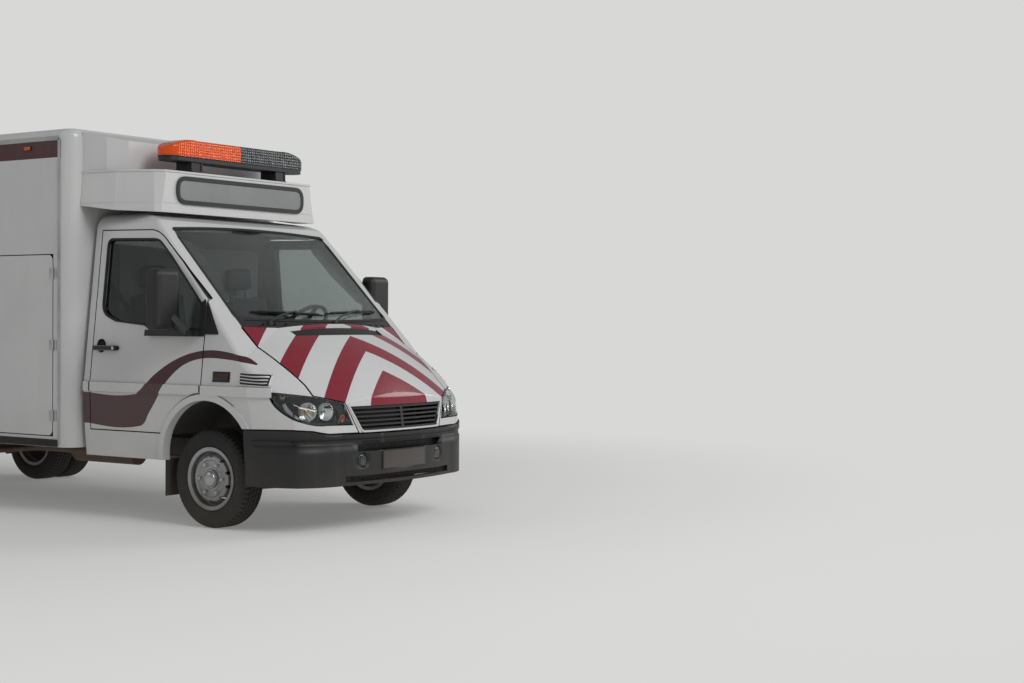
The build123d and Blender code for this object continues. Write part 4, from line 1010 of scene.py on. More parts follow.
def makeWipers():
    glass = surfaceOf("windscreen")
    shell = surfaceOf("cowl", "cab_shell")
    parts = wiperLook["parts"]
    for number, ((pivotX, pivotY), (y0, z0), (y1, z1)) in enumerate(wiperLook["arms"]):
        bm = bmesh.new()
        foot = drop(shell, at(pivotX, pivotY, wiperLook["clearZ"]), (0, 0, -1))
        base = foot[0] if foot else at(pivotX, pivotY, wiperLook["footZ"])
        addTurned(bm, [(-0.02, 0.02), (0.012, 0.018), (0.02, 0.013), (0.022, 0.0)], base, (0.3, 0, 1), 20)
        line = [(y0 + (y1 - y0) * k / parts, z0 + (z1 - z0) * k / parts) for k in range(parts + 1)]
        rows = dropAll(glass, atX(line, clearAhead), (-1, 0, 0))
        # the blade's rubber, its frame, the joint and the arm
        addSwept(bm, rows, [(-0.003, -0.001), (0.003, -0.001), (0.0022, 0.012), (-0.0022, 0.012)])
        raised = [(p + n * wiperLook["lift"], n) for p, n in rows[1:-1]]
        addSwept(bm, raised, flatSection(0.011, 0.006, 0.002))
        middle = raised[len(raised) // 2 + 1][0]
        addBlock(bm, middle - Vector((0.014, 0.02, 0.008)), middle + Vector((0.016, 0.02, 0.012)), 0.003)
        lift = Vector((0.004, 0, 0.03))
        arm = [base + Vector((0, 0, 0.012)), base.lerp(middle, 0.25) + lift,
               base.lerp(middle, 0.75) + lift * 0.8, middle + Vector((0.004, 0, 0.01))]
        addTube(bm, arm, wiperLook["armRadius"], corners=8)
        makePiece(f"wiper{number}", bm, "blackTrim")


cabSide = {  # half widths at heights; above the belt line the side leans in
    "rows": [(200, 930), (430, 940), (620, 958), (870, 966), (950, 966), (2000, 850)],
    "belt": 950, "lean": 0.1105,
}


def sideHalf(z):
    # half width of the cab at a height
    rows = cabSide["rows"]
    for (z0, w0), (z1, w1) in zip(rows, rows[1:]):
        if z <= z1:
            return w0 + (w1 - w0) * (z - z0) / (z1 - z0)
    return rows[-1][1]


def sideRows(points, sign):
    # places on the cab's flat side, with the side's normal
    rows = []
    for x, z in points:
        lean = cabSide["lean"] if z > cabSide["belt"] else 0.0
        rows.append((at(x, sign * sideHalf(z), z), Vector((0, sign, lean)).normalized()))
    return rows


def addSidePlate(bm, points, sign, thickness, sink=0.003):
    rows = sideRows(points, sign)
    outer = [bm.verts.new(p + n * thickness) for p, n in rows]
    inner = [bm.verts.new(p - n * sink) for p, n in rows]
    bm.faces.new(outer)
    bm.faces.new(list(reversed(inner)))
    for k in range(len(rows)):
        n = (k + 1) % len(rows)
        bm.faces.new((outer[k], outer[n], inner[n], inner[k]))


doorLook = {
    "window": [(-1022, 1926), (-527, 1916), (-395, 1800), (-76, 1478), (-76, 1306), (-545, 1309), (-592, 1338),
               (-880, 1363), (-1022, 1415)],
    "radii": [46, 46, 0, 14, 20, 20, 20, 0, 75],
    "sail": [(-31, 1464), (-31, 1292), (-80, 1292), (-80, 1484), (-44, 1508)],
    "corner": [(-21, 1494), (94, 1292), (94, 1288), (-21, 1288)],
    "sillStrip": [(-72, 1262), (-72, 1306), (-31, 1306), (-31, 1262)],
    "shellStrip": [(-21, 1276), (-21, 1290), (96, 1290), (96, 1276)],
    "cup": (-1005, 980, 1192), "cupRadius": 61.0, "lock": (-852, 978, 1175),
}


def makeDoorTrims():
    cup = [(math.cos(k * 0.83 / 8), math.sin(k * 0.83 / 8)) for k in range(9)]
    radius = doorLook["cupRadius"]
    cup = [(radius * along / 1000, radius * out / 1000) for along, out in reversed(cup)]
    lock = [(-0.004, 0.012), (0.003, 0.012), (0.0045, 0.009), (0.0035, 0.008), (0.0035, 0.0)]
    for side, sign in sides:
        body = "cab_door_" + side
        bm = bmesh.new()
        loop = spaced(roundedPath(doorLook["window"], doorLook["radii"]), 40)
        addSwept(bm, sideRows(loop, sign), flatSection(0.016, 0.0035, 0.012), closed=True)
        addSidePlate(bm, doorLook["sail"], sign, 0.003)
        addSidePlate(bm, doorLook["sillStrip"], sign, 0.006)
        makePiece("windowSeal_" + side, bm, "rubber", body)
        bm = bmesh.new()
        addSidePlate(bm, doorLook["corner"], sign, 0.003)
        addSidePlate(bm, doorLook["shellStrip"], sign, 0.005)
        makePiece("pillarCorner_" + side, bm, "rubber")
        # grip, its cup and the lock
        bm = bmesh.new()
        addBlock(bm, at(-1060, sign * 977, 1158), at(-836, sign * 950, 1192), 0.008, 3)
        addBlock(bm, at(-1076, sign * 951, 1163), at(-826, sign * 934, 1187), 0.005)
        x, y, z = doorLook["cup"]
        addTurned(bm, cup, at(x, sign * y, z), (0, -sign, 0), 28, closed=False)
        makePiece("doorGrip_" + side, bm, "blackTrim", body, smooth=50)
        bm = bmesh.new()
        x, y, z = doorLook["lock"]
        addTurned(bm, lock, at(x, sign * y, z), (0, sign, 0), 20)
        makePiece("doorLock_" + side, bm, "brightSteel", body)


def addPad(bm, tree, corners, direction, height, wide=6, long=3, sink=0.006):
    # a low pad that follows the surface, between four corners in order
    grid = []
    a, b, c, d = [Vector(p) for p in corners]
    for j in range(long + 1):
        row = []
        for i in range(wide + 1):
            u, v = i / wide, j / long
            spot = drop(tree, a.lerp(b, u).lerp(d.lerp(c, u), v), direction)
            if not spot:
                return
            row.append(spot)
        grid.append(row)
    top = [[bm.verts.new(p + n * height) for p, n in row] for row in grid]
    low = [[bm.verts.new(p - n * sink) for p, n in row] for row in grid]
    for j in range(long):
        for i in range(wide):
            bm.faces.new((top[j][i], top[j][i + 1], top[j + 1][i + 1], top[j + 1][i]))
            bm.faces.new((low[j][i], low[j + 1][i], low[j + 1][i + 1], low[j][i + 1]))
    rim = [(0, i) for i in range(wide + 1)] + [(j, wide) for j in range(1, long + 1)]
    rim += [(long, i) for i in range(wide - 1, -1, -1)] + [(j, 0) for j in range(long - 1, 0, -1)]
    for (j, i), (l, k) in zip(rim, rim[1:] + rim[:1]):
        bm.faces.new((top[j][i], low[j][i], low[l][k], top[l][k]))


fenderLook = {
    "repeater": (80, 968, 232, 1036), "lensMargin": (12, 10),
    "vent": [(318, 1036), (318, 956), (538, 946), (500, 1022)], "slats": 3, "slatParts": 8,
}


def makeFenderFittings():
    tree = surfaceOf("cab_shell")
    slat = [(-0.004, 0.001), (0.003, 0.001), (0.003, 0.005), (-0.004, 0.009)]
    for side, sign in sides:
        way = (0, -sign, 0)
        start = sign * clearBeside
        x0, z0, x1, z1 = fenderLook["repeater"]
        bm = bmesh.new()
        addPad(bm, tree, atY(rectangle(x0, z0, x1, z1), start), way, 0.005)
        makePiece("repeaterBase_" + side, bm, "blackTrim", bevel=0.0015)
        bm = bmesh.new()
        inX, inZ = fenderLook["lensMargin"]
        lens = rectangle(x0 + inX, z0 + inZ, x1 - inX, z1 - inZ)
        addPad(bm, tree, atY(lens, start), way, 0.012, sink=0.0)
        makePiece("repeaterLens_" + side, bm, "lensSmoked", bevel=0.004)
        # vent: a dark base, a rim and the slats
        bm = bmesh.new()
        a, b, c, d = [Vector(p) for p in fenderLook["vent"]]
        addPad(bm, tree, atY((b, c, d, a), start), way, 0.003, 16, 8)
        makePiece("ventBase_" + side, bm, "lampBlack")
        bm = bmesh.new()
        rim = spaced(roundedPath(fenderLook["vent"], 16), 20)
        addSwept(bm, dropAll(tree, atY(rim, start), way), flatSection(0.007, 0.006, 0.004), closed=True)
        for k in range(fenderLook["slats"]):
            v = (k + 1) / (fenderLook["slats"] + 1)
            rear, front = a.lerp(b, v), d.lerp(c, v)
            parts = fenderLook["slatParts"]
            line = [rear.lerp(front, 0.04 + 0.92 * s / parts) for s in range(parts + 1)]
            addSwept(bm, dropAll(tree, atY(line, start), way), slat)
        makePiece("fenderVent_" + side, bm, "plainPaint")


# Header, light bar and box trims

headerLook = {
    "plan": [(-1190, 950), (-900, 905), (-650, 795), (-590, 735)],
    "skirt": [(-1190, 973), (-884, 929), (-618, 817), (-590, 781)],
    "skirtZ": 2095, "planZ": 2400, "cabFrontX": -640, "overCabZ": 2120,
    "ledges": [(2392, 14, 7), (2176, 8, 3), (2112, 8, 3)],  # height, width, how far it stands out
    "signHalf": (637, 83), "signX": -579.2, "signY": 4, "signZ": 2267, "signRadius": 74, "border": 30,
}


def makeHeaderTrims():
    bm = bmesh.new()
    low, high = headerLook["skirtZ"], headerLook["planZ"]
    for height, wide, proud in headerLook["ledges"]:
        share = (height - low) / (high - low)
        plan = [(a + (c - a) * share, b + (d - b) * share)
                for (a, b), (c, d) in zip(headerLook["skirt"], headerLook["plan"])]
        plan += [(x, -y) for x, y in reversed(plan)]
        path = spaced(roundedPath(plan, 26, closed=False), 120, closed=False)
        rows = []
        for i, (x, y) in enumerate(path):
            if height < headerLook["overCabZ"] and x < headerLook["cabFrontX"]:
                continue
            before, after = Vector(path[max(0, i - 1)]), Vector(path[min(len(path) - 1, i + 1)])
            run = (after - before).normalized()
            rows.append((at(x, y, height), Vector((-run.y, run.x, 0))))
        rows = [(p, n if n.dot(p - at(-1100, 0, height)) > 0 else -n) for p, n in rows]
        addSwept(bm, rows, flatSection(wide / 1000, proud / 1000, 0.004))
    makePiece("headerLedges", bm, "plainPaint")
    loop = centred(headerLook["signY"], headerLook["signZ"], *headerLook["signHalf"])
    loop = spaced(roundedPath(loop, headerLook["signRadius"], steps=10), 60)
    bm = bmesh.new()
    rows = [(place, Vector((1, 0, 0))) for place in atX(loop, headerLook["signX"])]
    addSwept(bm, rows, flatSection(headerLook["border"] / 1000, 0.005, 0.003), closed=True)
    makePiece("signBorder", bm, "blackTrim")


barLook = {
    "x": -680, "depth": 90, "half": 700, "low": 2507, "reflectors": [110, 240, 370, 500], "reflectorZ": 2560,
    # the pale patch on the lens tops is a painted reflection of the sky: where it starts, how far short of the
    # bar's end it stops, its half width, where its ends narrow and over what reach, and its rows
    "feetY": (382, 478), "paintedSkyFrom": 24, "paintedSkyEnd": 62,
    "paintedSkyHalf": 54, "paintedSkyTurn": (560, 92), "paintedSkyParts": 12,
}


def barPlan(shrink):
    # the round-ended outline of the bar, seen from above
    x, depth, end = barLook["x"], barLook["depth"] - shrink, barLook["half"] - barLook["depth"]
    turn = [k * math.pi / 12 for k in range(13)]
    left = [(x + depth * math.cos(a), end + depth * math.sin(a)) for a in turn]
    return left + [(x - depth * math.cos(a), -end - depth * math.sin(a)) for a in turn]


def makeBarBase():
    # base rail, the dark joint between the halves and the clamped feet
    x, low, end = barLook["x"], barLook["low"], barLook["half"] - barLook["depth"]
    bm = bmesh.new()
    rows = []
    for a, b in spaced(barPlan(2), 60):
        away = Vector((a - x, max(0.0, abs(b) - end) * (1 if b > 0 else -1), 0)).normalized()
        rows.append((at(a, b, low + 3), away))
    addSwept(bm, rows, flatSection(0.016, 0.0015, 0.004), closed=True)
    addBlock(bm, at(x - 89, -10, low - 2), at(x + 89, 10, low + 113), 0.006)
    inner, outer = barLook["feetY"]
    for sign in (-1, 1):
        for y in (inner, outer):
            addBlock(bm, at(x - 76, sign * y - 6, 2402), at(x + 76, sign * y + 6, 2476), 0.003)
        addBlock(bm, at(x - 84, sign * (inner - 6), 2399), at(x + 84, sign * (outer + 6), 2408), 0.003)
    makePiece("barBase", bm, "blackTrim")


def makeLightBar():
    # a pale sheet over the tops of the lenses, a painted reflection of the sky, and what shows through the
    # lenses
    x, z = barLook["x"], barLook["reflectorZ"]
    first, last = barLook["paintedSkyFrom"], barLook["half"] - barLook["paintedSkyEnd"]
    turnFrom, turnReach = barLook["paintedSkyTurn"]
    stem = [(-0.05, 0.018), (-0.02, 0.02), (0.02, 0.016), (0.026, 0)]
    for side, sign in sides:
        tree = surfaceOf("beacon_lens_" + side)
        bm = bmesh.new()
        top = []
        for k in range(barLook["paintedSkyParts"] + 1):
            y = first + (last - first) * k / barLook["paintedSkyParts"]
            wide = barLook["paintedSkyHalf"]
            if y >= turnFrom:
                wide *= math.sqrt(max(0.05, 1 - ((y - turnFrom) / turnReach) ** 2))
            starts = [at(x + wide * t, sign * y, clearAbove) for t in (-1, -0.5, 0, 0.5, 1)]
            row = dropAll(tree, starts, (0, 0, -1))
            top.append([bm.verts.new(p + n * 0.0025) for p, n in row])
        for a, b in zip(top, top[1:]):
            for k in range(4):
                bm.faces.new((a[k], a[k + 1], b[k + 1], b[k]))
        # painted reflection: a pale sheet on the lens tops stands for the sky they reflect
        cover = makePiece("barPaintedSky_" + side, bm, "lensWhite")
        thicken(cover, 0.004)
        bm = bmesh.new()
        for y in barLook["reflectors"]:
            for face in (1, -1):
                addBowl(bm, at(x + face * 48, sign * y, z), Vector((face, 0, 0)), 0.042, 0.03)
            addTurned(bm, stem, at(x, sign * y, z), (0, 0, 1), 18)
        makePiece("barReflectors_" + side, bm, "reflector", smooth=60)


boxLook = {
    "front": -1300, "rear": -4840, "back": -4900, "half": 1060, "low": 508, "cant": 2630, "step": 118,
    "rubRails": ((-1310, -3095), (-4005, -4830)), "archRadius": 424, "archFoot": 0.42,
}


def makeBoxTrims():
    step, cant = boxLook["step"], boxLook["cant"]
    for side, sign in sides:
        out = Vector((0, sign, 0))
        y = sign * boxLook["half"]
        bm = bmesh.new()
        for x in (boxLook["front"], boxLook["rear"] + 4):
            rows = [(at(x, y, z), out) for z in range(500, 2626, step)]
            addSwept(bm, rows, flatSection(0.026, 0.005, 0.003))
        rows = [(at(x, y, cant - 4), out) for x in range(boxLook["rear"], boxLook["front"] + 10, step)]
        addSwept(bm, rows, flatSection(0.03, 0.005, 0.003))
        makePiece("boxCornerTrims_" + side, bm, "aluminium")
        bm = bmesh.new()
        for start, end in boxLook["rubRails"]:
            rows = [(at(start + (end - start) * k / 12, y, boxLook["low"]), out) for k in range(13)]
            addSwept(bm, rows, flatSection(0.05, 0.012, 0.003))
        foot, radius = boxLook["archFoot"], boxLook["archRadius"]
        turns = [foot + (math.pi - 2 * foot) * k / 40 for k in range(41)]
        arch = [(wheelPlaces["rearX"] + radius * math.cos(a), wheelPlaces["height"] + radius * math.sin(a))
                for a in turns]
        addSwept(bm, [(place, out) for place in atY(arch, y)], flatSection(0.044, 0.014, 0.03))
        makePiece("boxRubRails_" + side, bm, "rubber")
    bm = bmesh.new()
    rows = [(at(boxLook["back"], y, cant + 2), Vector((-1, 0, 0))) for y in range(-1026, 1027, 108)]
    addSwept(bm, rows, flatSection(0.034, 0.006, 0.003))
    makePiece("roofRearTrim", bm, "aluminium")


# Seats and cab interior

seatLook = {
    "places": (("driver", 430), ("passenger", -430)),
    "voxel": 0.006, "pressure": 4.0, "frames": 20, "cap": 0.022, "fill": 0.7,
    # a part's corners, the rise of its bolsters, its seams, the fall of its front edge,
    # and the number of the axis that its face looks along
    "cushion": {"low": (-975, -235, 836), "high": (-492, 235, 944), "bolster": 20, "seams": [-150, 150],
                "front": 26, "face": 2},
    "back": {"low": (-60, -225, 0), "high": (50, 225, 585), "bolster": 24, "seams": [-140, 140],
             "front": 0, "face": 0},
    "head": {"low": (-40, -118, 0), "high": (42, 118, 158), "bolster": 0, "seams": [], "front": 0, "face": 0},
    "seamReach": 0.012, "seamDepth": 0.006,
    # x, z and backward lean
    "feet": {"cushion": (0, 0, 0), "back": (-915, 972, 0.15), "head": (-1022, 1596, 0.1)},
    # frame blocks: x0, x1, half width, z0, z1, broken edge and its segments
    "frame": [(-920, -570, 180, 627, 800, 0.02, 3), (-950, -520, 215, 798, 836, 0.01, 2),
              (-985, -900, 190, 830, 1060, 0.012, 2)],
}


def softBlock(low, high, bolster, front):
    # a rounded block with raised side bolsters, made a little smaller than the finished cushion
    bm = bmesh.new()
    addBlock(bm, low, high, 0.03, 3)
    for number in range(1, 8):
        y = low[1] + (high[1] - low[1]) * number / 8
        parts = bm.verts[:] + bm.edges[:] + bm.faces[:]
        bmesh.ops.bisect_plane(bm, geom=parts, plane_co=(0, y, 0), plane_no=(0, 1, 0))
    middle = (low[1] + high[1]) / 2
    half = (high[1] - low[1]) / 2
    for vert in bm.verts:
        share = abs(vert.co.y - middle) / half
        rise = bolster * max(0.0, min(1.0, (share - 0.5) / 0.25))
        along = (vert.co.x - low[0]) / (high[0] - low[0])
        vert.co.y = middle + (vert.co.y - middle) * (1 - 0.03 * math.cos(along * math.pi) ** 2)
        if front:
            top = (vert.co.z - low[2]) / (high[2] - low[2])
            ahead = max(0.0, along - 0.8) / 0.2
            vert.co.z += top * (rise - front * ahead ** 2)
        elif bolster:
            vert.co.x += rise * max(0.0, along)
    return bm


def stuffed(bm):
    # the sewn cover blown up by its filling: remesh, cloth under pressure, capped movement
    start = bpy.data.meshes.new("softStart")
    bm.to_mesh(start)
    bm.free()
    worker = bpy.data.objects.new("softWorker", start)
    scene.collection.objects.link(worker)
    grid = worker.modifiers.new("grid", "REMESH")
    grid.mode = "VOXEL"
    grid.voxel_size = seatLook["voxel"]
    graph = bpy.context.evaluated_depsgraph_get()
    even = bpy.data.meshes.new_from_object(worker.evaluated_get(graph))
    worker.modifiers.clear()
    worker.data = even
    before = [v.co.copy() for v in even.vertices]
    cloth = worker.modifiers.new("cover", "CLOTH")
    cloth.settings.use_pressure = True
    cloth.settings.uniform_pressure_force = seatLook["pressure"]
    cloth.settings.effector_weights.gravity = 0.0
    cloth.point_cache.frame_end = seatLook["frames"]
    for frameNumber in range(1, seatLook["frames"] + 1):
        scene.frame_set(frameNumber)
    graph = bpy.context.evaluated_depsgraph_get()
    done = bpy.data.meshes.new_from_object(worker.evaluated_get(graph))
    for vert, old in zip(done.vertices, before):
        move = vert.co - old
        if move.length > seatLook["cap"]:
            vert.co = old + move.normalized() * seatLook["cap"]
    bpy.data.objects.remove(worker)
    scene.frame_set(1)
    return done


def sewSeams(mesh, seams, face):
    # pulls the cover in along the sewn channels of its face
    mesh.update()
    normals = [v.normal.copy() for v in mesh.vertices]
    reach = seatLook["seamReach"]
    for vert, normal in zip(mesh.vertices, normals):
        for seam in seams:
            away = abs(vert.co.y - seam / 1000)
            if away < reach and normal[face] > 0.4:
                vert.co -= normal * seatLook["seamDepth"] * (1 - away / reach)


def makeSeats():
    forms = {}
    for part in seatLook["feet"]:
        look = seatLook[part]
        low, high = [Vector(p) / 1000 for p in (look["low"], look["high"])]
        forms[part] = stuffed(softBlock(low, high, look["bolster"] / 1000, look["front"] / 1000))
        sewSeams(forms[part], look["seams"], look["face"])
    for name, y in seatLook["places"]:
        for part, (x, z, lean) in seatLook["feet"].items():
            bm = bmesh.new()
            bm.from_mesh(forms[part])
            bm.transform(Matrix.Translation(at(x, y, z)) @ Matrix.Rotation(-lean, 4, "Y"))
            piece = makePiece(f"{name}Seat_{part}", bm, "seatCloth", smooth=180)
        bm = bmesh.new()
        for x0, x1, half, z0, z1, edge, steps in seatLook["frame"]:
            addBlock(bm, at(x0, y - half, z0), at(x1, y + half, z1), edge, steps)
        for side in (-1, 1):
            addTube(bm, [at(-1004, y + side * 54, 1500), at(-1018, y + side * 54, 1640)], 0.006)
            addBlock(bm, at(-930, y + side * 222, 800), at(-820, y + side * 236, 900), 0.006)
        frameWork = makePiece(name + "Seat_frame", bm, "dashPlastic")
        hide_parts(name + "_seat")


dashLook = {
    "fromX": -900, "vents": [(-760, 1188), (-190, 1196), (-60, 1196), (700, 1188)], "ventSize": (52, 26),
    "slats": 4, "stack": (-112, 1000, 92, 1150), "knobs": (-74, -10, 54), "knobZ": 1030,
    "panels": [(-96, 1075, 76, 1099), (-96, 1110, 76, 1134)], "lid": (-700, 1060, -260, 1150),
    "dials": [(375, 30), (465, 30), (420, 18)], "dialX": -219, "dialZ": 1270,
}


def makeDashDetails():
    tree = surfaceOf("dashboard")
    x, toFront = dashLook["fromX"], (1, 0, 0)
    bm, dark = bmesh.new(), bmesh.new()
    wide, tall = dashLook["ventSize"]
    for y, z in dashLook["vents"]:
        edge = centred(y, z, wide, tall)
        addPad(dark, tree, atX(edge, x), toFront, 0.002)
        rim = spaced(roundedPath(edge, 10), 20)
        addSwept(bm, dropAll(tree, atX(rim, x), toFront), flatSection(0.007, 0.006, 0.004), closed=True)
        for k in range(dashLook["slats"]):
            row = [at(x, y - wide + 2 * wide * s / 4, z - tall + (k + 1) * tall * 0.4) for s in range(5)]
            addSwept(bm, dropAll(tree, row, toFront), flatSection(0.003, 0.005, 0.001))
    addPad(dark, tree, atX(rectangle(*dashLook["stack"]), x), toFront, 0.004)
    knob = [(0.0, 0.016), (0.016, 0.014), (0.02, 0.01), (0.02, 0)]
    for spot, _ in dropAll(tree, [at(x, y, dashLook["knobZ"]) for y in dashLook["knobs"]], toFront):
        addTurned(bm, knob, spot, (-1, 0, 0.1), 20)
    for panel in dashLook["panels"]:
        addPad(bm, tree, atX(rectangle(*panel), x), toFront, 0.007)
    lid = spaced(roundedPath(rectangle(*dashLook["lid"]), 16), 30)
    addSwept(dark, dropAll(tree, atX(lid, x), toFront), flatSection(0.003, 0.0012, 0.001), closed=True)
    makePiece("dashFittings", bm, "blackTrim")
    makePiece("dashPanels", dark, "lampBlack")
    bm = bmesh.new()
    for y, radius in dashLook["dials"]:
        r = radius / 1000
        profile = [(0.0, r + 0.003), (0.004, r + 0.003), (0.005, r), (0.002, r - 0.002), (0.002, 0)]
        addTurned(bm, profile, at(dashLook["dialX"], y, dashLook["dialZ"]), (-0.84, 0, -0.54), 30)
    makePiece("dials", bm, "signGrey")


wheelLook = {
    "hub": (-372, 420, 1318), "lean": (-0.75, 0, 0.66), "rim": 205, "wrapRadius": 0.0168,
    "spokes": (0, math.pi, -math.pi / 2), "wraps": (0.35, math.pi - 0.35), "stalkRoot": (-262, 420, 1226),
}


def makeWheelDetails():
    # padded hub, spokes, rim wraps where the hands lie, and the stalks behind the steering wheel
    axis = Vector(wheelLook["lean"]).normalized()
    hub = at(*wheelLook["hub"])
    level = Vector((0, 1, 0))
    up = axis.cross(level).normalized()
    if up.z < 0:
        up = -up

    def toward(turn):
        return level * math.cos(turn) + up * math.sin(turn)

    bm = bmesh.new()
    addTurned(bm, [(0.012, 0.086), (0.022, 0.082), (0.028, 0.06), (0.03, 0.03), (0.0305, 0)], hub, axis, 36)
    spoke = ((0.06, -0.03), (0.19, -0.016), (0.19, 0.016), (0.06, 0.03))
    for turn in wheelLook["spokes"]:
        way = toward(turn)
        side = axis.cross(way).normalized()
        addPrism(bm, [hub + axis * 0.006 + way * a + side * b for a, b in spoke], axis * 0.012)
    makePiece("wheelPad", bm, "dashPlastic", "steering_wheel", bevel=0.003)
    bm = bmesh.new()
    reach = wheelLook["rim"] / 1000
    for turn in wheelLook["wraps"]:
        run = [hub + toward(turn + s) * reach for s in (-0.16, -0.08, 0, 0.08, 0.16)]
        addSwept(bm, [(p, axis) for p in run], roundSection(wheelLook["wrapRadius"], 14))
    makePiece("wheelWrap", bm, "rubber", "steering_wheel")
    bm = bmesh.new()
    x, y, z = wheelLook["stalkRoot"]
    for side in (-1, 1):
        root = at(x, y + side * 30, z)
        tip = root + Vector((-0.03, side * 0.13, 0.03))
        addTube(bm, [root, root + Vector((-0.02, side * 0.05, 0.012)), tip], 0.006)
        addTurned(bm, [(-0.02, 0.007), (0.0, 0.009), (0.02, 0.008), (0.022, 0)], tip, (-0.1, side, 0.2), 14)
    makePiece("columnStalks", bm, "blackTrim")


cabLook = {
    # pads on a door's inner face: x0, z0, x1, z1, height, parts across and along
    "pads": [(-900, 1062, -430, 1112, 0.045, 6, 3), (-840, 1108, -700, 1148, 0.03, 6, 3),
             (-940, 700, -420, 800, 0.022, 6, 3), (-960, 1150, -430, 1290, 0.006, 6, 3),
             (-700, 1180, -660, 1200, 0.03, 3, 2)],
    "speaker": (-560, 930), "insideY": 300, "insideZ": 1500,
    "belt": (-1085, 812), "beltHeights": (760, 1000, 1250, 1500, 1640), "beltWidth": 0.046,
    "visor": (-640, 170, -520, 660), "headlining": (-1080, -600, -680, 600),
    "pedals": ((335, 34), (425, 44), (520, 30)),  # y and half width
}


def makeCabSides():
    # door cards with their speakers, and the seat belts on the pillars
    for side, sign in sides:
        tree = surfaceOf("door_" + side)
        out, y = (0, sign, 0), sign * cabLook["insideY"]
        bm = bmesh.new()
        for x0, z0, x1, z1, height, wide, long in cabLook["pads"]:
            addPad(bm, tree, atY(rectangle(x0, z0, x1, z1), y), out, height, wide, long)
        ring = [(0.0, 0.085), (0.008, 0.083), (0.01, 0.078), (0.004, 0.07), (0.006, 0.03), (0.008, 0)]
        for spot, _ in dropAll(tree, atY([cabLook["speaker"]], y), out):
            addTurned(bm, ring, spot, (0, -sign, 0), 32)
        makePiece("doorCard_" + side, bm, "dashPlastic", "cab_door_" + side, bevel=0.004)
        bm = bmesh.new()
        x, y = cabLook["belt"]
        webbing = flatSection(cabLook["beltWidth"], 0.0015, 0.0)
        rows = [(at(x + 5, sign * y, z), Vector((1, 0, 0))) for z in cabLook["beltHeights"]]
        addSwept(bm, rows, webbing)
        run = [(x + 8, y - 6, 1640), (x + 30, y - 60, 1560), (x + 60, y - 140, 1430)]
        addSwept(bm, [(at(a, sign * b, c), Vector((1, 0, 0.2))) for a, b, c in run], webbing)
        makePiece("seatBelt_" + side, bm, "beltWebbing")
        bm = bmesh.new()
        addBlock(bm, at(x - 8, sign * y - 34, 1626), at(x + 12, sign * y + 34, 1668), 0.006)
        addBlock(bm, at(x - 8, sign * y - 40, 690), at(x + 26, sign * y + 40, 780), 0.008)
        makePiece("beltAnchors_" + side, bm, "blackTrim")


def makeCabLining():
    # sun visors, headlining, rear wall board, pedals and the gear lever
    roof = surfaceOf("cab_shell")
    z = cabLook["insideZ"]
    bm = bmesh.new()
    for sign in (-1, 1):
        x0, y0, x1, y1 = cabLook["visor"]
        addPad(bm, roof, atZ(rectangle(x0, sign * y0, x1, sign * y1), z), (0, 0, 1), 0.03, 4, 6, sink=-0.008)
    addPad(bm, roof, atZ(rectangle(*cabLook["headlining"]), z), (0, 0, 1), 0.007, 6, 8)
    addBlock(bm, at(-1094, -700, 900), at(-1086, 700, 1900), 0.003)
    makePiece("cabLining", bm, "liningBoard", bevel=0.004)
    bm = bmesh.new()
    for y, wide in cabLook["pedals"]:
        addTube(bm, [at(128, y, 1010), at(96, y, 900), at(58, y, 800)], 0.007)
        addBlock(bm, at(40, y - wide, 770), at(52, y + wide, 830), 0.004)
    addTube(bm, [at(-268, -150, 1100), at(-330, -152, 1160), at(-352, -152, 1200)], 0.008)
    knob = [(-0.03, 0.014), (-0.01, 0.022), (0.012, 0.02), (0.02, 0.008), (0.021, 0)]
    addTurned(bm, knob, at(-360, -152, 1216), (-0.4, 0, 0.9), 18)
    boot = [(-0.01, 0.045), (0.012, 0.04), (0.024, 0.024), (0.03, 0.012), (0.032, 0)]
    addTurned(bm, boot, at(-270, -150, 1102), (-0.8, 0, 0.6), 20)
    makePiece("pedalsAndLever", bm, "rubber")


mirrorLook = {"head": (-230, 1100, 1505), "glass": (88, 178), "split": -96, "gap": 4, "behind": 56}


def makeMirrorGlass():
    x, y, z = mirrorLook["head"]
    wide, tall = mirrorLook["glass"]
    split, gap = mirrorLook["split"], mirrorLook["gap"]
    for side, sign in sides:
        bm = bmesh.new()
        for low, high in ((-tall, split - gap), (split + gap, tall)):
            outline = roundedPath(rectangle(-wide, low, wide, high), 26)
            places = [at(x - mirrorLook["behind"], sign * y + a, z + b) for a, b in outline]
            addPrism(bm, places, (0.003, 0, 0))
        makePiece("mirrorGlass_" + side, bm, "mirrorGlass", "cab_door_" + side, bevel=0.001)


# Box and tail fittings

boxFit = {
    "markers": [  # x, z, half length, half height
        (-1626, 2568, 34, 16), (-4680, 2568, 34, 16), (-2400, 548, 44, 16), (-3020, 548, 44, 16),
        (-4560, 548, 44, 16)],
    "hinges": (700, 1190, 1690), "filler": (-1780, 930, 86),
    "locker": (-2146, -1366, 560, 1817), "lockerGap": 3.5,  # rear, front, low, high
    # a black strip round the cab's back: painted shade for the gap between cab and box
    "shadeStripLoop": [(-826, 660), (826, 660), (792, 1980), (700, 2052), (-700, 2052), (-792, 1980)],
    "shadeStripX": -1170, "shadeStripMiddle": 1350,
    "fold": [(-0.0195, -0.03), (0.0195, -0.03), (0.0195, 0.0), (0.013, 0.008), (0.0065, -0.004), (0.0, 0.008),
             (-0.0065, -0.004), (-0.013, 0.008), (-0.0195, 0.0)],
}


def softened(outline, radius):
    # a rounded outline in short spans
    return spaced(roundedPath(outline, radius), 60)


def addGasket(bm, places, width, height, normal):
    # a closed strip through places on a flat face
    addSwept(bm, [(place, Vector(normal)) for place in places], flatSection(width, height, 0.004), closed=True)


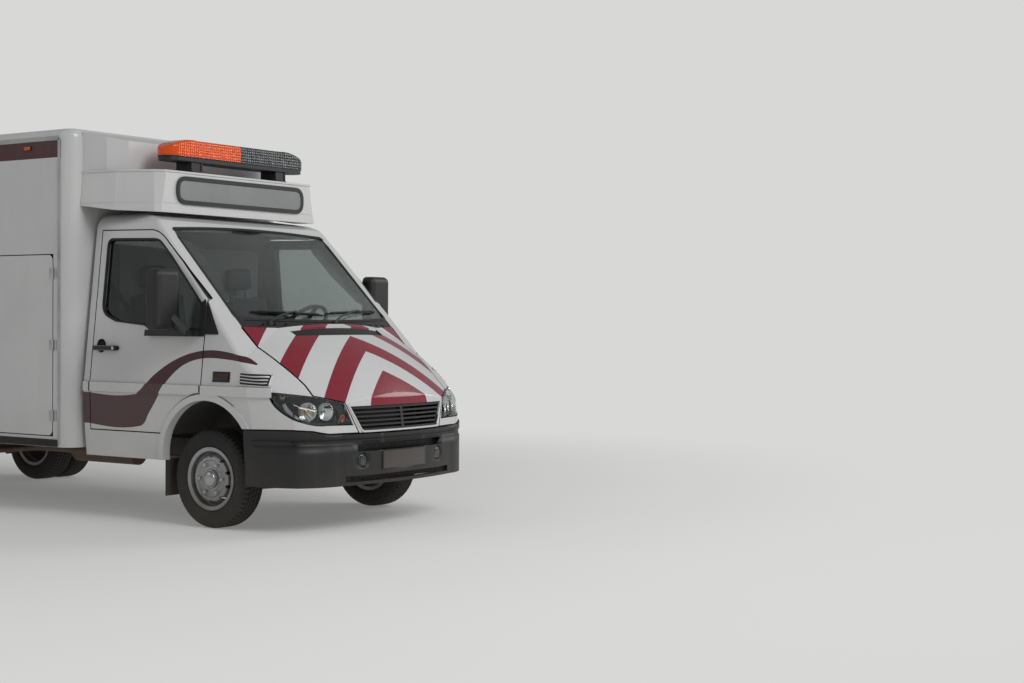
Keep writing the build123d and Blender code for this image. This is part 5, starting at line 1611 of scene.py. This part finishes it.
def makeBoxFittings():
    half = boxLook["half"]
    for side, sign in sides:
        lamps, bases = bmesh.new(), bmesh.new()
        out = Vector((0, sign, 0))
        for x, z, wide, tall in boxFit["markers"]:
            addPrism(bases, atY(roundedPath(centred(x, z, wide, tall), 8), sign * half), out * 0.005)
            lens = roundedPath(centred(x, z, wide - 5, tall - 4), 7)
            addPrism(lamps, atY(lens, sign * (half + 5)), out * 0.011)
        makePiece("markerBases_" + side, bases, "blackTrim")
        makePiece("markerLenses_" + side, lamps, "lensOrange", bevel=0.003)
    # locker: gasket in the gap, hinges on its front edge, paddle latch
    rear, front, low, high = boxFit["locker"]
    gap = boxFit["lockerGap"]
    bm = bmesh.new()
    edge = softened(rectangle(rear - gap, low - gap, front + gap, high + gap), 20)
    addGasket(bm, atY(edge, 14 - half), 0.0045, 0.006, (0, -1, 0))
    makePiece("lockerGasket", bm, "rubber")
    barrel = [(-0.04, 0.006), (-0.039, 0.007), (0.039, 0.007), (0.04, 0.006)]
    bm = bmesh.new()
    for z in boxFit["hinges"]:
        addTurned(bm, barrel, at(-1358, -1068, z), (0, 0, 1), 16)
        addBlock(bm, at(-1354, -1063, z - 36), at(-1322, -1058, z + 36), 0.0015)
    makePiece("lockerHinges", bm, "aluminium")
    bm = bmesh.new()
    for z in boxFit["hinges"]:
        addBlock(bm, at(front - 34, -1063, z - 36), at(front, -1058, z + 36), 0.0015)
    addBlock(bm, at(-2096, -1063, 1092), at(-1956, -1059, 1168), 0.0015)
    makePiece("lockerPlates", bm, "aluminium", "locker_door")
    # fuel filler on the left
    x, z, radius = boxFit["filler"]
    r = radius / 1000
    ring = [(-0.002, r), (0.004, r - 0.001), (0.005, r - 0.01), (0.0015, r - 0.014)]
    cap = [(0.0015, 0.072), (0.003, 0.04), (0.006, 0.036), (0.012, 0.034), (0.013, 0)]
    bm = bmesh.new()
    addTurned(bm, ring, at(x, half, z), (0, 1, 0), 40, closed=False)
    addTurned(bm, cap, at(x, half, z), (0, 1, 0), 32, closed=False)
    makePiece("fuelFiller", bm, "blackTrim")
    # a folded black rubber strip between the cab and the box, put there as painted shade for the gap
    bm = bmesh.new()
    middle = boxFit["shadeStripMiddle"]
    rows = [(at(boxFit["shadeStripX"], y, z), Vector((0, y, (z - middle) * 1.1)).normalized())
            for y, z in spaced(roundedPath(boxFit["shadeStripLoop"], 60), 70)]
    addSwept(bm, rows, boxFit["fold"], closed=True)
    makePiece("cabShadeStrip", bm, "rubber", smooth=60)


tailLook = {
    "lamps": [  # finish, slot, low, high
        ("lensOrange", "lens_amber", 962, 1104), ("lensRed", "lens_red", 822, 956),
        ("lensWhite", "lamp_clear", 760, 816), ("lensRed", "lens_red", 697, 754)],
    "lampY": 930, "lampHalf": 59, "rods": 96, "rodGuides": (730, 1150, 1450, 2000, 2530),
    "hinges": (860, 1630, 2400), "glass": (400, 2050, 230, 310), "highLamps": [(940, 2590), (300, 2594)],
    "door": (11, 712, 780, 2548), "board": (62, 752, 742, 1660), "boardX": -4861, "pullY": 120,
}


def makeTailLamps():
    rear = boxLook["back"]
    for number, (finishName, slotName, low, high) in enumerate(tailLook["lamps"]):
        bm = bmesh.new()
        for sign in (-1, 1):
            y, half = sign * tailLook["lampY"], tailLook["lampHalf"]
            addPrism(bm, atX(roundedPath(rectangle(y - half, low, y + half, high), 14), rear), (-0.018, 0, 0))
        made = makePiece(f"tailLens{number}", bm, finishName, bevel=0.004)
        if number == 0:
            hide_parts("tail_lamps")
    bm = bmesh.new()
    for sign in (-1, 1):
        base = centred(sign * tailLook["lampY"], 900, 65, 210)
        addPrism(bm, atX(roundedPath(base, 18), rear), (-0.008, 0, 0))
        for y, z in tailLook["highLamps"]:
            addPrism(bm, atX(roundedPath(centred(sign * y, z, 36, 16), 8), rear), (-0.005, 0, 0))
    makePiece("tailBases", bm, "blackTrim")
    bm = bmesh.new()
    for sign in (-1, 1):
        for y, z in tailLook["highLamps"]:
            addPrism(bm, atX(roundedPath(centred(sign * y, z, 31, 12), 7), rear - 5), (-0.011, 0, 0))
    makePiece("highLenses", bm, "lensRed", bevel=0.003)


def makeRearDoorFittings():
    rear = boxLook["back"]
    barrel = [(-0.034, 0.008), (-0.033, 0.0095), (0.033, 0.0095), (0.034, 0.008)]
    for side, sign in sides:
        body = "rear_door_" + side
        glassY, glassZ, wide, tall = tailLook["glass"]
        window = softened(centred(sign * glassY, glassZ, wide, tall), 72)
        y0, z0, y1, z1 = tailLook["door"]
        seal = bmesh.new()
        addGasket(seal, atX(window, rear), 0.022, 0.005, (-1, 0, 0))
        edge = softened(rectangle(sign * y0, z0, sign * y1, z1), 8)
        addGasket(seal, atX(edge, rear), 0.008, 0.003, (-1, 0, 0))
        makePiece("rearSeals_" + side, seal, "rubber", body)
        # locking rod with its guides, and the hinges
        metal = bmesh.new()
        y = sign * tailLook["rods"]
        addTube(metal, [at(rear - 14, y, z) for z in (720, 1600, 2540)], 0.008)
        for z in tailLook["rodGuides"]:
            addBlock(metal, at(rear - 24, y - 16, z - 12), at(rear + 1, y + 16, z + 12), 0.003)
        for z in tailLook["hinges"]:
            addBlock(metal, at(rear - 6, sign * 620, z - 22), at(rear + 1, sign * 782, z + 22), 0.002)
            addTurned(metal, barrel, at(rear - 16, sign * 784, z), (0, 0, 1), 16)
        makePiece("rearDoorMetal_" + side, metal, "aluminium", body)
        # the door's inner face: a lining board, a ring round the window and a pull
        x, pullY = tailLook["boardX"], sign * tailLook["pullY"]
        y0, z0, y1, z1 = tailLook["board"]
        board = bmesh.new()
        outline = roundedPath(rectangle(sign * y0, z0, sign * y1, z1), 40)
        addPrism(board, atX(outline, x), (0.005, 0, 0))
        makePiece("rearDoorBoard_" + side, board, "liningBoard", body, bevel=0.002)
        pull = bmesh.new()
        addGasket(pull, atX(window, x + 1), 0.022, 0.005, (1, 0, 0))
        addTube(pull, [at(-4832, pullY, 1120 + 26 * k) for k in range(11)], 0.010)
        for z in (1130, 1370):
            addTube(pull, [at(-4862, pullY, z), at(-4830, pullY, z)], 0.010)
        makePiece("rearDoorPull_" + side, pull, "rubber", body)


stepLook = {"x": (-5016, -4905, 15), "y": (-745, 700, 50), "bar": (6, 38), "low": 401, "high": 404}


def makeStepTread():
    wide, long = stepLook["bar"]
    bm = bmesh.new()
    for x in range(*stepLook["x"]):
        for y in range(*stepLook["y"]):
            addBlock(bm, at(x, y, stepLook["low"]), at(x + wide, y + long, stepLook["high"]))
    makePiece("stepTread", bm, "aluminium")


loadLook = {
    "lamps": [(-1900, -1500), (-3100, -2700), (-4300, -3900)], "rail": (-4500, -1500, 260), "railZ": 2560,
    "rubRails": {"left": [(-4700, -1300)], "right": [(-4700, -2200)]}, "rubHeights": (1000, 1700),
    "lockerBack": -745, "lockerMouth": -1019, "shelves": (960, 1400),
}


def makeLoadRails():
    # ceiling lamps, the roof rails with their posts, and the rub rails on the lining
    bm, glow = bmesh.new(), bmesh.new()
    for x0, x1 in loadLook["lamps"]:
        addBlock(bm, at(x0 - 14, -74, 2640), at(x1 + 14, 74, 2656), 0.005)
        addBlock(glow, at(x0, -60, 2630), at(x1, 60, 2645), 0.005)
    x0, x1, y = loadLook["rail"]
    top = loadLook["railZ"]
    for side, sign in sides:
        addTube(bm, [at(x0 + (x1 - x0) * k / 12, sign * y, top) for k in range(13)], 0.014)
        for k in range(5):
            x = x0 + (x1 - x0) * k / 4
            addTube(bm, [at(x, sign * y, top + 2), at(x, sign * y, 2654)], 0.009)
        for start, end in loadLook["rubRails"][side]:
            for z in loadLook["rubHeights"]:
                addBlock(bm, at(start, sign * 1012, z), at(end, sign * 1019, z + 50), 0.003)
    makePiece("loadRails", bm, "aluminium")
    return glow


def makeLoadSpace():
    glow = makeLoadRails()
    # the locker's own walls and shelves, behind its door
    rear, front, low, high = boxFit["locker"]
    back, mouth = loadLook["lockerBack"], loadLook["lockerMouth"]
    walls = [  # x0, x1, y0, y1, z0, z1
        (rear - 12, front + 12, back - 6, back, low - 10, high + 12),
        (rear - 12, rear - 8, back, mouth, low - 10, high + 12),
        (front + 8, front + 12, back, mouth, low - 10, high + 12),
        (rear - 12, front + 12, back, mouth, high + 8, high + 12),
        (rear - 12, front + 12, back, mouth, low + 130, low + 134),
        (rear - 8, front + 8, mouth + 5, mouth + 1, low - 4, low + 134),
    ]
    bm = bmesh.new()
    addBlocks(bm, walls)
    for z in loadLook["shelves"]:
        addBlock(bm, at(rear - 8, back, z), at(front + 8, mouth + 24, z + 18), 0.003)
        addBlock(bm, at(rear - 8, mouth + 20, z - 14), at(front + 8, mouth + 24, z + 34), 0.001)
    makePiece("lockerLining", bm, "liningBoard")
    makePiece("loadLamps", glow, "lensWhite")


underLook = {
    # blocks as x0, x1, y0, y1, z0, z1
    "flaps": [(-4000, -3992, 640, 905, 190, 640), (-404, -398, 745, 915, 190, 440)],
    "strapsX": (-2120, -1850, -1580), "strap": (499, 269, 861, 471), "tankMiddle": (680, 370),
    "springY": 430, "ubolts": (-70, 70), "shackles": (-640, 640), "damperY": 330,
    "ubolt": [(-42, 400), (-42, 280), (-30, 268), (30, 268), (42, 280), (42, 400)],
}


def makeUnderFittings():
    bm = bmesh.new()
    for sign in (-1, 1):
        addBlocks(bm, underLook["flaps"], sign, 0.002)
    makePiece("mudFlaps", bm, "mudRubber")
    bm = bmesh.new()
    # tank straps
    middleY, middleZ = underLook["tankMiddle"]
    for x in underLook["strapsX"]:
        loop = spaced(roundedPath(rectangle(*underLook["strap"]), 46), 40)
        rows = [(at(x, y, z), Vector((0, y - middleY, z - middleZ)).normalized()) for y, z in loop]
        addSwept(bm, rows, flatSection(0.036, 0.003, 0.001), closed=True)
        addBlock(bm, at(x - 20, 455, 470), at(x + 20, 690, 480), 0.002)
    # rear springs' bolts, pads and shackles, and the dampers
    axle, springY = wheelPlaces["rearX"], underLook["springY"]
    for sign in (-1, 1):
        for shift in underLook["ubolts"]:
            path = [(sign * springY + a, b) for a, b in underLook["ubolt"]]
            addTube(bm, atX(path, axle + shift), 0.007, corners=8)
            addBlock(bm, at(axle - 95, sign * 380, 400), at(axle + 95, sign * 480, 412), 0.003)
        for shift in underLook["shackles"]:
            x = axle + shift
            addBlock(bm, at(x - 14, sign * 408, 392), at(x + 14, sign * 452, 424), 0.004)
        y = sign * underLook["damperY"]
        low, high = at(axle - 70, y, 330), at(axle + 220, y, 560)
        addTube(bm, [low, low.lerp(high, 0.5)], 0.026, corners=14)
        addTube(bm, [low.lerp(high, 0.45), high], 0.018, corners=12)
        addBlock(bm, at(axle + 200, y - 20, 545), at(axle + 240, sign * 460, 580), 0.004)
    makePiece("underFittings", bm, "chassisBlack")


makeTyres()
makeWheelFittings()
print("wheels dressed")
makeHeadlamps()
makeGrilleSurround()
makeBumperSkin()
makeFogLamps()
makeFrontPlate()
makeBumperFittings()
print("front end dressed")
makeScreenSeal()
makeWipers()
makeDoorTrims()
makeFenderFittings()
makeMirrorGlass()
print("cab dressed")
makeSeats()
makeDashDetails()
makeWheelDetails()
makeCabSides()
makeCabLining()
print("cab interior dressed")
makeHeaderTrims()
makeBarBase()
makeLightBar()
makeBoxTrims()
makeBoxFittings()
makeTailLamps()
makeRearDoorFittings()
makeStepTread()
makeLoadSpace()
makeUnderFittings()
print("box dressed")


# Studio and camera

studio = {
    "floor": tone(228, 227, 224), "backdrop": tone(216, 216, 214), "ambient": 0.42, "reach": 60.0,
    "fadeFrom": 2.6, "fadeTo": 9.0, "lift": 0.25,
    "lamps": [  # place, aim, size, power
        ((11.5, -2.5, 8.0), (1.6, 0.0, 1.0), 5.0, 610.0),
        ((7.5, 9.5, 6.5), (1.0, 0.0, 1.4), 6.0, 420.0),
        ((-6.0, -9.0, 7.0), (-1.0, 0.0, 1.5), 6.0, 70.0),
    ],
}


def makeFloor():
    floorMesh = bpy.data.meshes.new("studioFloor")
    bm = bmesh.new()
    bmesh.ops.create_grid(bm, x_segments=2, y_segments=2, size=studio["reach"])
    bm.to_mesh(floorMesh)
    bm.free()
    floor = bpy.data.objects.new("studioFloor", floorMesh)
    scene.collection.objects.link(floor)
    material = bpy.data.materials.new("studioFloor")
    material.use_nodes = True
    tree = material.node_tree
    shader = tree.nodes["Principled BSDF"]
    shader.inputs["Roughness"].default_value = 0.85
    coords = placeOn(tree)[0]
    mottle = put(tree, "TexNoise", {"Vector": coords, "Scale": 0.7, "Detail": 4.0}).outputs[0]
    paler = tuple(min(1.0, c * 1.05) for c in studio["floor"][:3]) + (1.0,)
    tree.links.new(mixColor(tree, mottle, studio["floor"], paler), shader.inputs["Base Color"])
    # far from the vehicle the floor turns into the backdrop, so that no horizon shows
    away = put(tree, "VectorMath", {0: coords}, operation="LENGTH").outputs["Value"]
    fade = {0: away, 1: studio["fadeFrom"], 2: studio["fadeTo"], 3: studio["lift"], 4: 1.0}
    share = put(tree, "MapRange", fade, interpolation_type="SMOOTHSTEP").outputs[0]
    glow = put(tree, "Emission", {"Color": studio["backdrop"], "Strength": 1.0}).outputs[0]
    mixed = put(tree, "MixShader", {0: share, 1: shader.outputs[0], 2: glow}).outputs[0]
    tree.links.new(mixed, tree.nodes["Material Output"].inputs["Surface"])
    floorMesh.materials.append(material)


def makeLights():
    world = bpy.data.worlds.new("studioSky")
    scene.world = world
    world.use_nodes = True
    tree = world.node_tree
    tree.nodes.clear()
    path = put(tree, "LightPath")
    seen = calc(tree, "MAXIMUM", path.outputs["Is Camera Ray"], path.outputs["Is Transmission Ray"])
    ambient = put(tree, "Background", {"Color": tone(222, 224, 226), "Strength": studio["ambient"]})
    behind = put(tree, "Background", {"Color": studio["backdrop"], "Strength": 1.0})
    mix = put(tree, "MixShader", {0: seen, 1: ambient.outputs[0], 2: behind.outputs[0]})
    put(tree, "OutputWorld", {0: mix.outputs[0]})
    for number, (place, aim, size, power) in enumerate(studio["lamps"]):
        light = bpy.data.lights.new(f"softbox{number}", "AREA")
        light.shape = "SQUARE"
        light.size = size
        light.energy = power
        lamp = bpy.data.objects.new(light.name, light)
        lamp.location = place
        lamp.rotation_mode = "QUATERNION"
        lamp.rotation_quaternion = (Vector(aim) - Vector(place)).to_track_quat("-Z", "Y")
        scene.collection.objects.link(lamp)


photoCamera = {  # solved from paired points of the photo
    "sensor": 36.0, "lens": 57.54, "reach": 300.0,
    "matrix": ((0.82634, -0.01213, 0.56305, 9.742), (0.56315, 0.00757, -0.82632, -8.669),
               (0.00576, 0.9999, 0.01309, 1.382), (0, 0, 0, 1)),
}


def makeCamera():
    lens = bpy.data.cameras.new("photoCamera")
    lens.sensor_width = photoCamera["sensor"]
    lens.lens = photoCamera["lens"]
    lens.clip_end = photoCamera["reach"]
    camera = bpy.data.objects.new("photoCamera", lens)
    camera.matrix_world = Matrix(photoCamera["matrix"])
    scene.collection.objects.link(camera)
    scene.camera = camera


scene.view_settings.view_transform = "Standard"
makeFloor()
makeLights()
makeCamera()
print("studio and camera set")
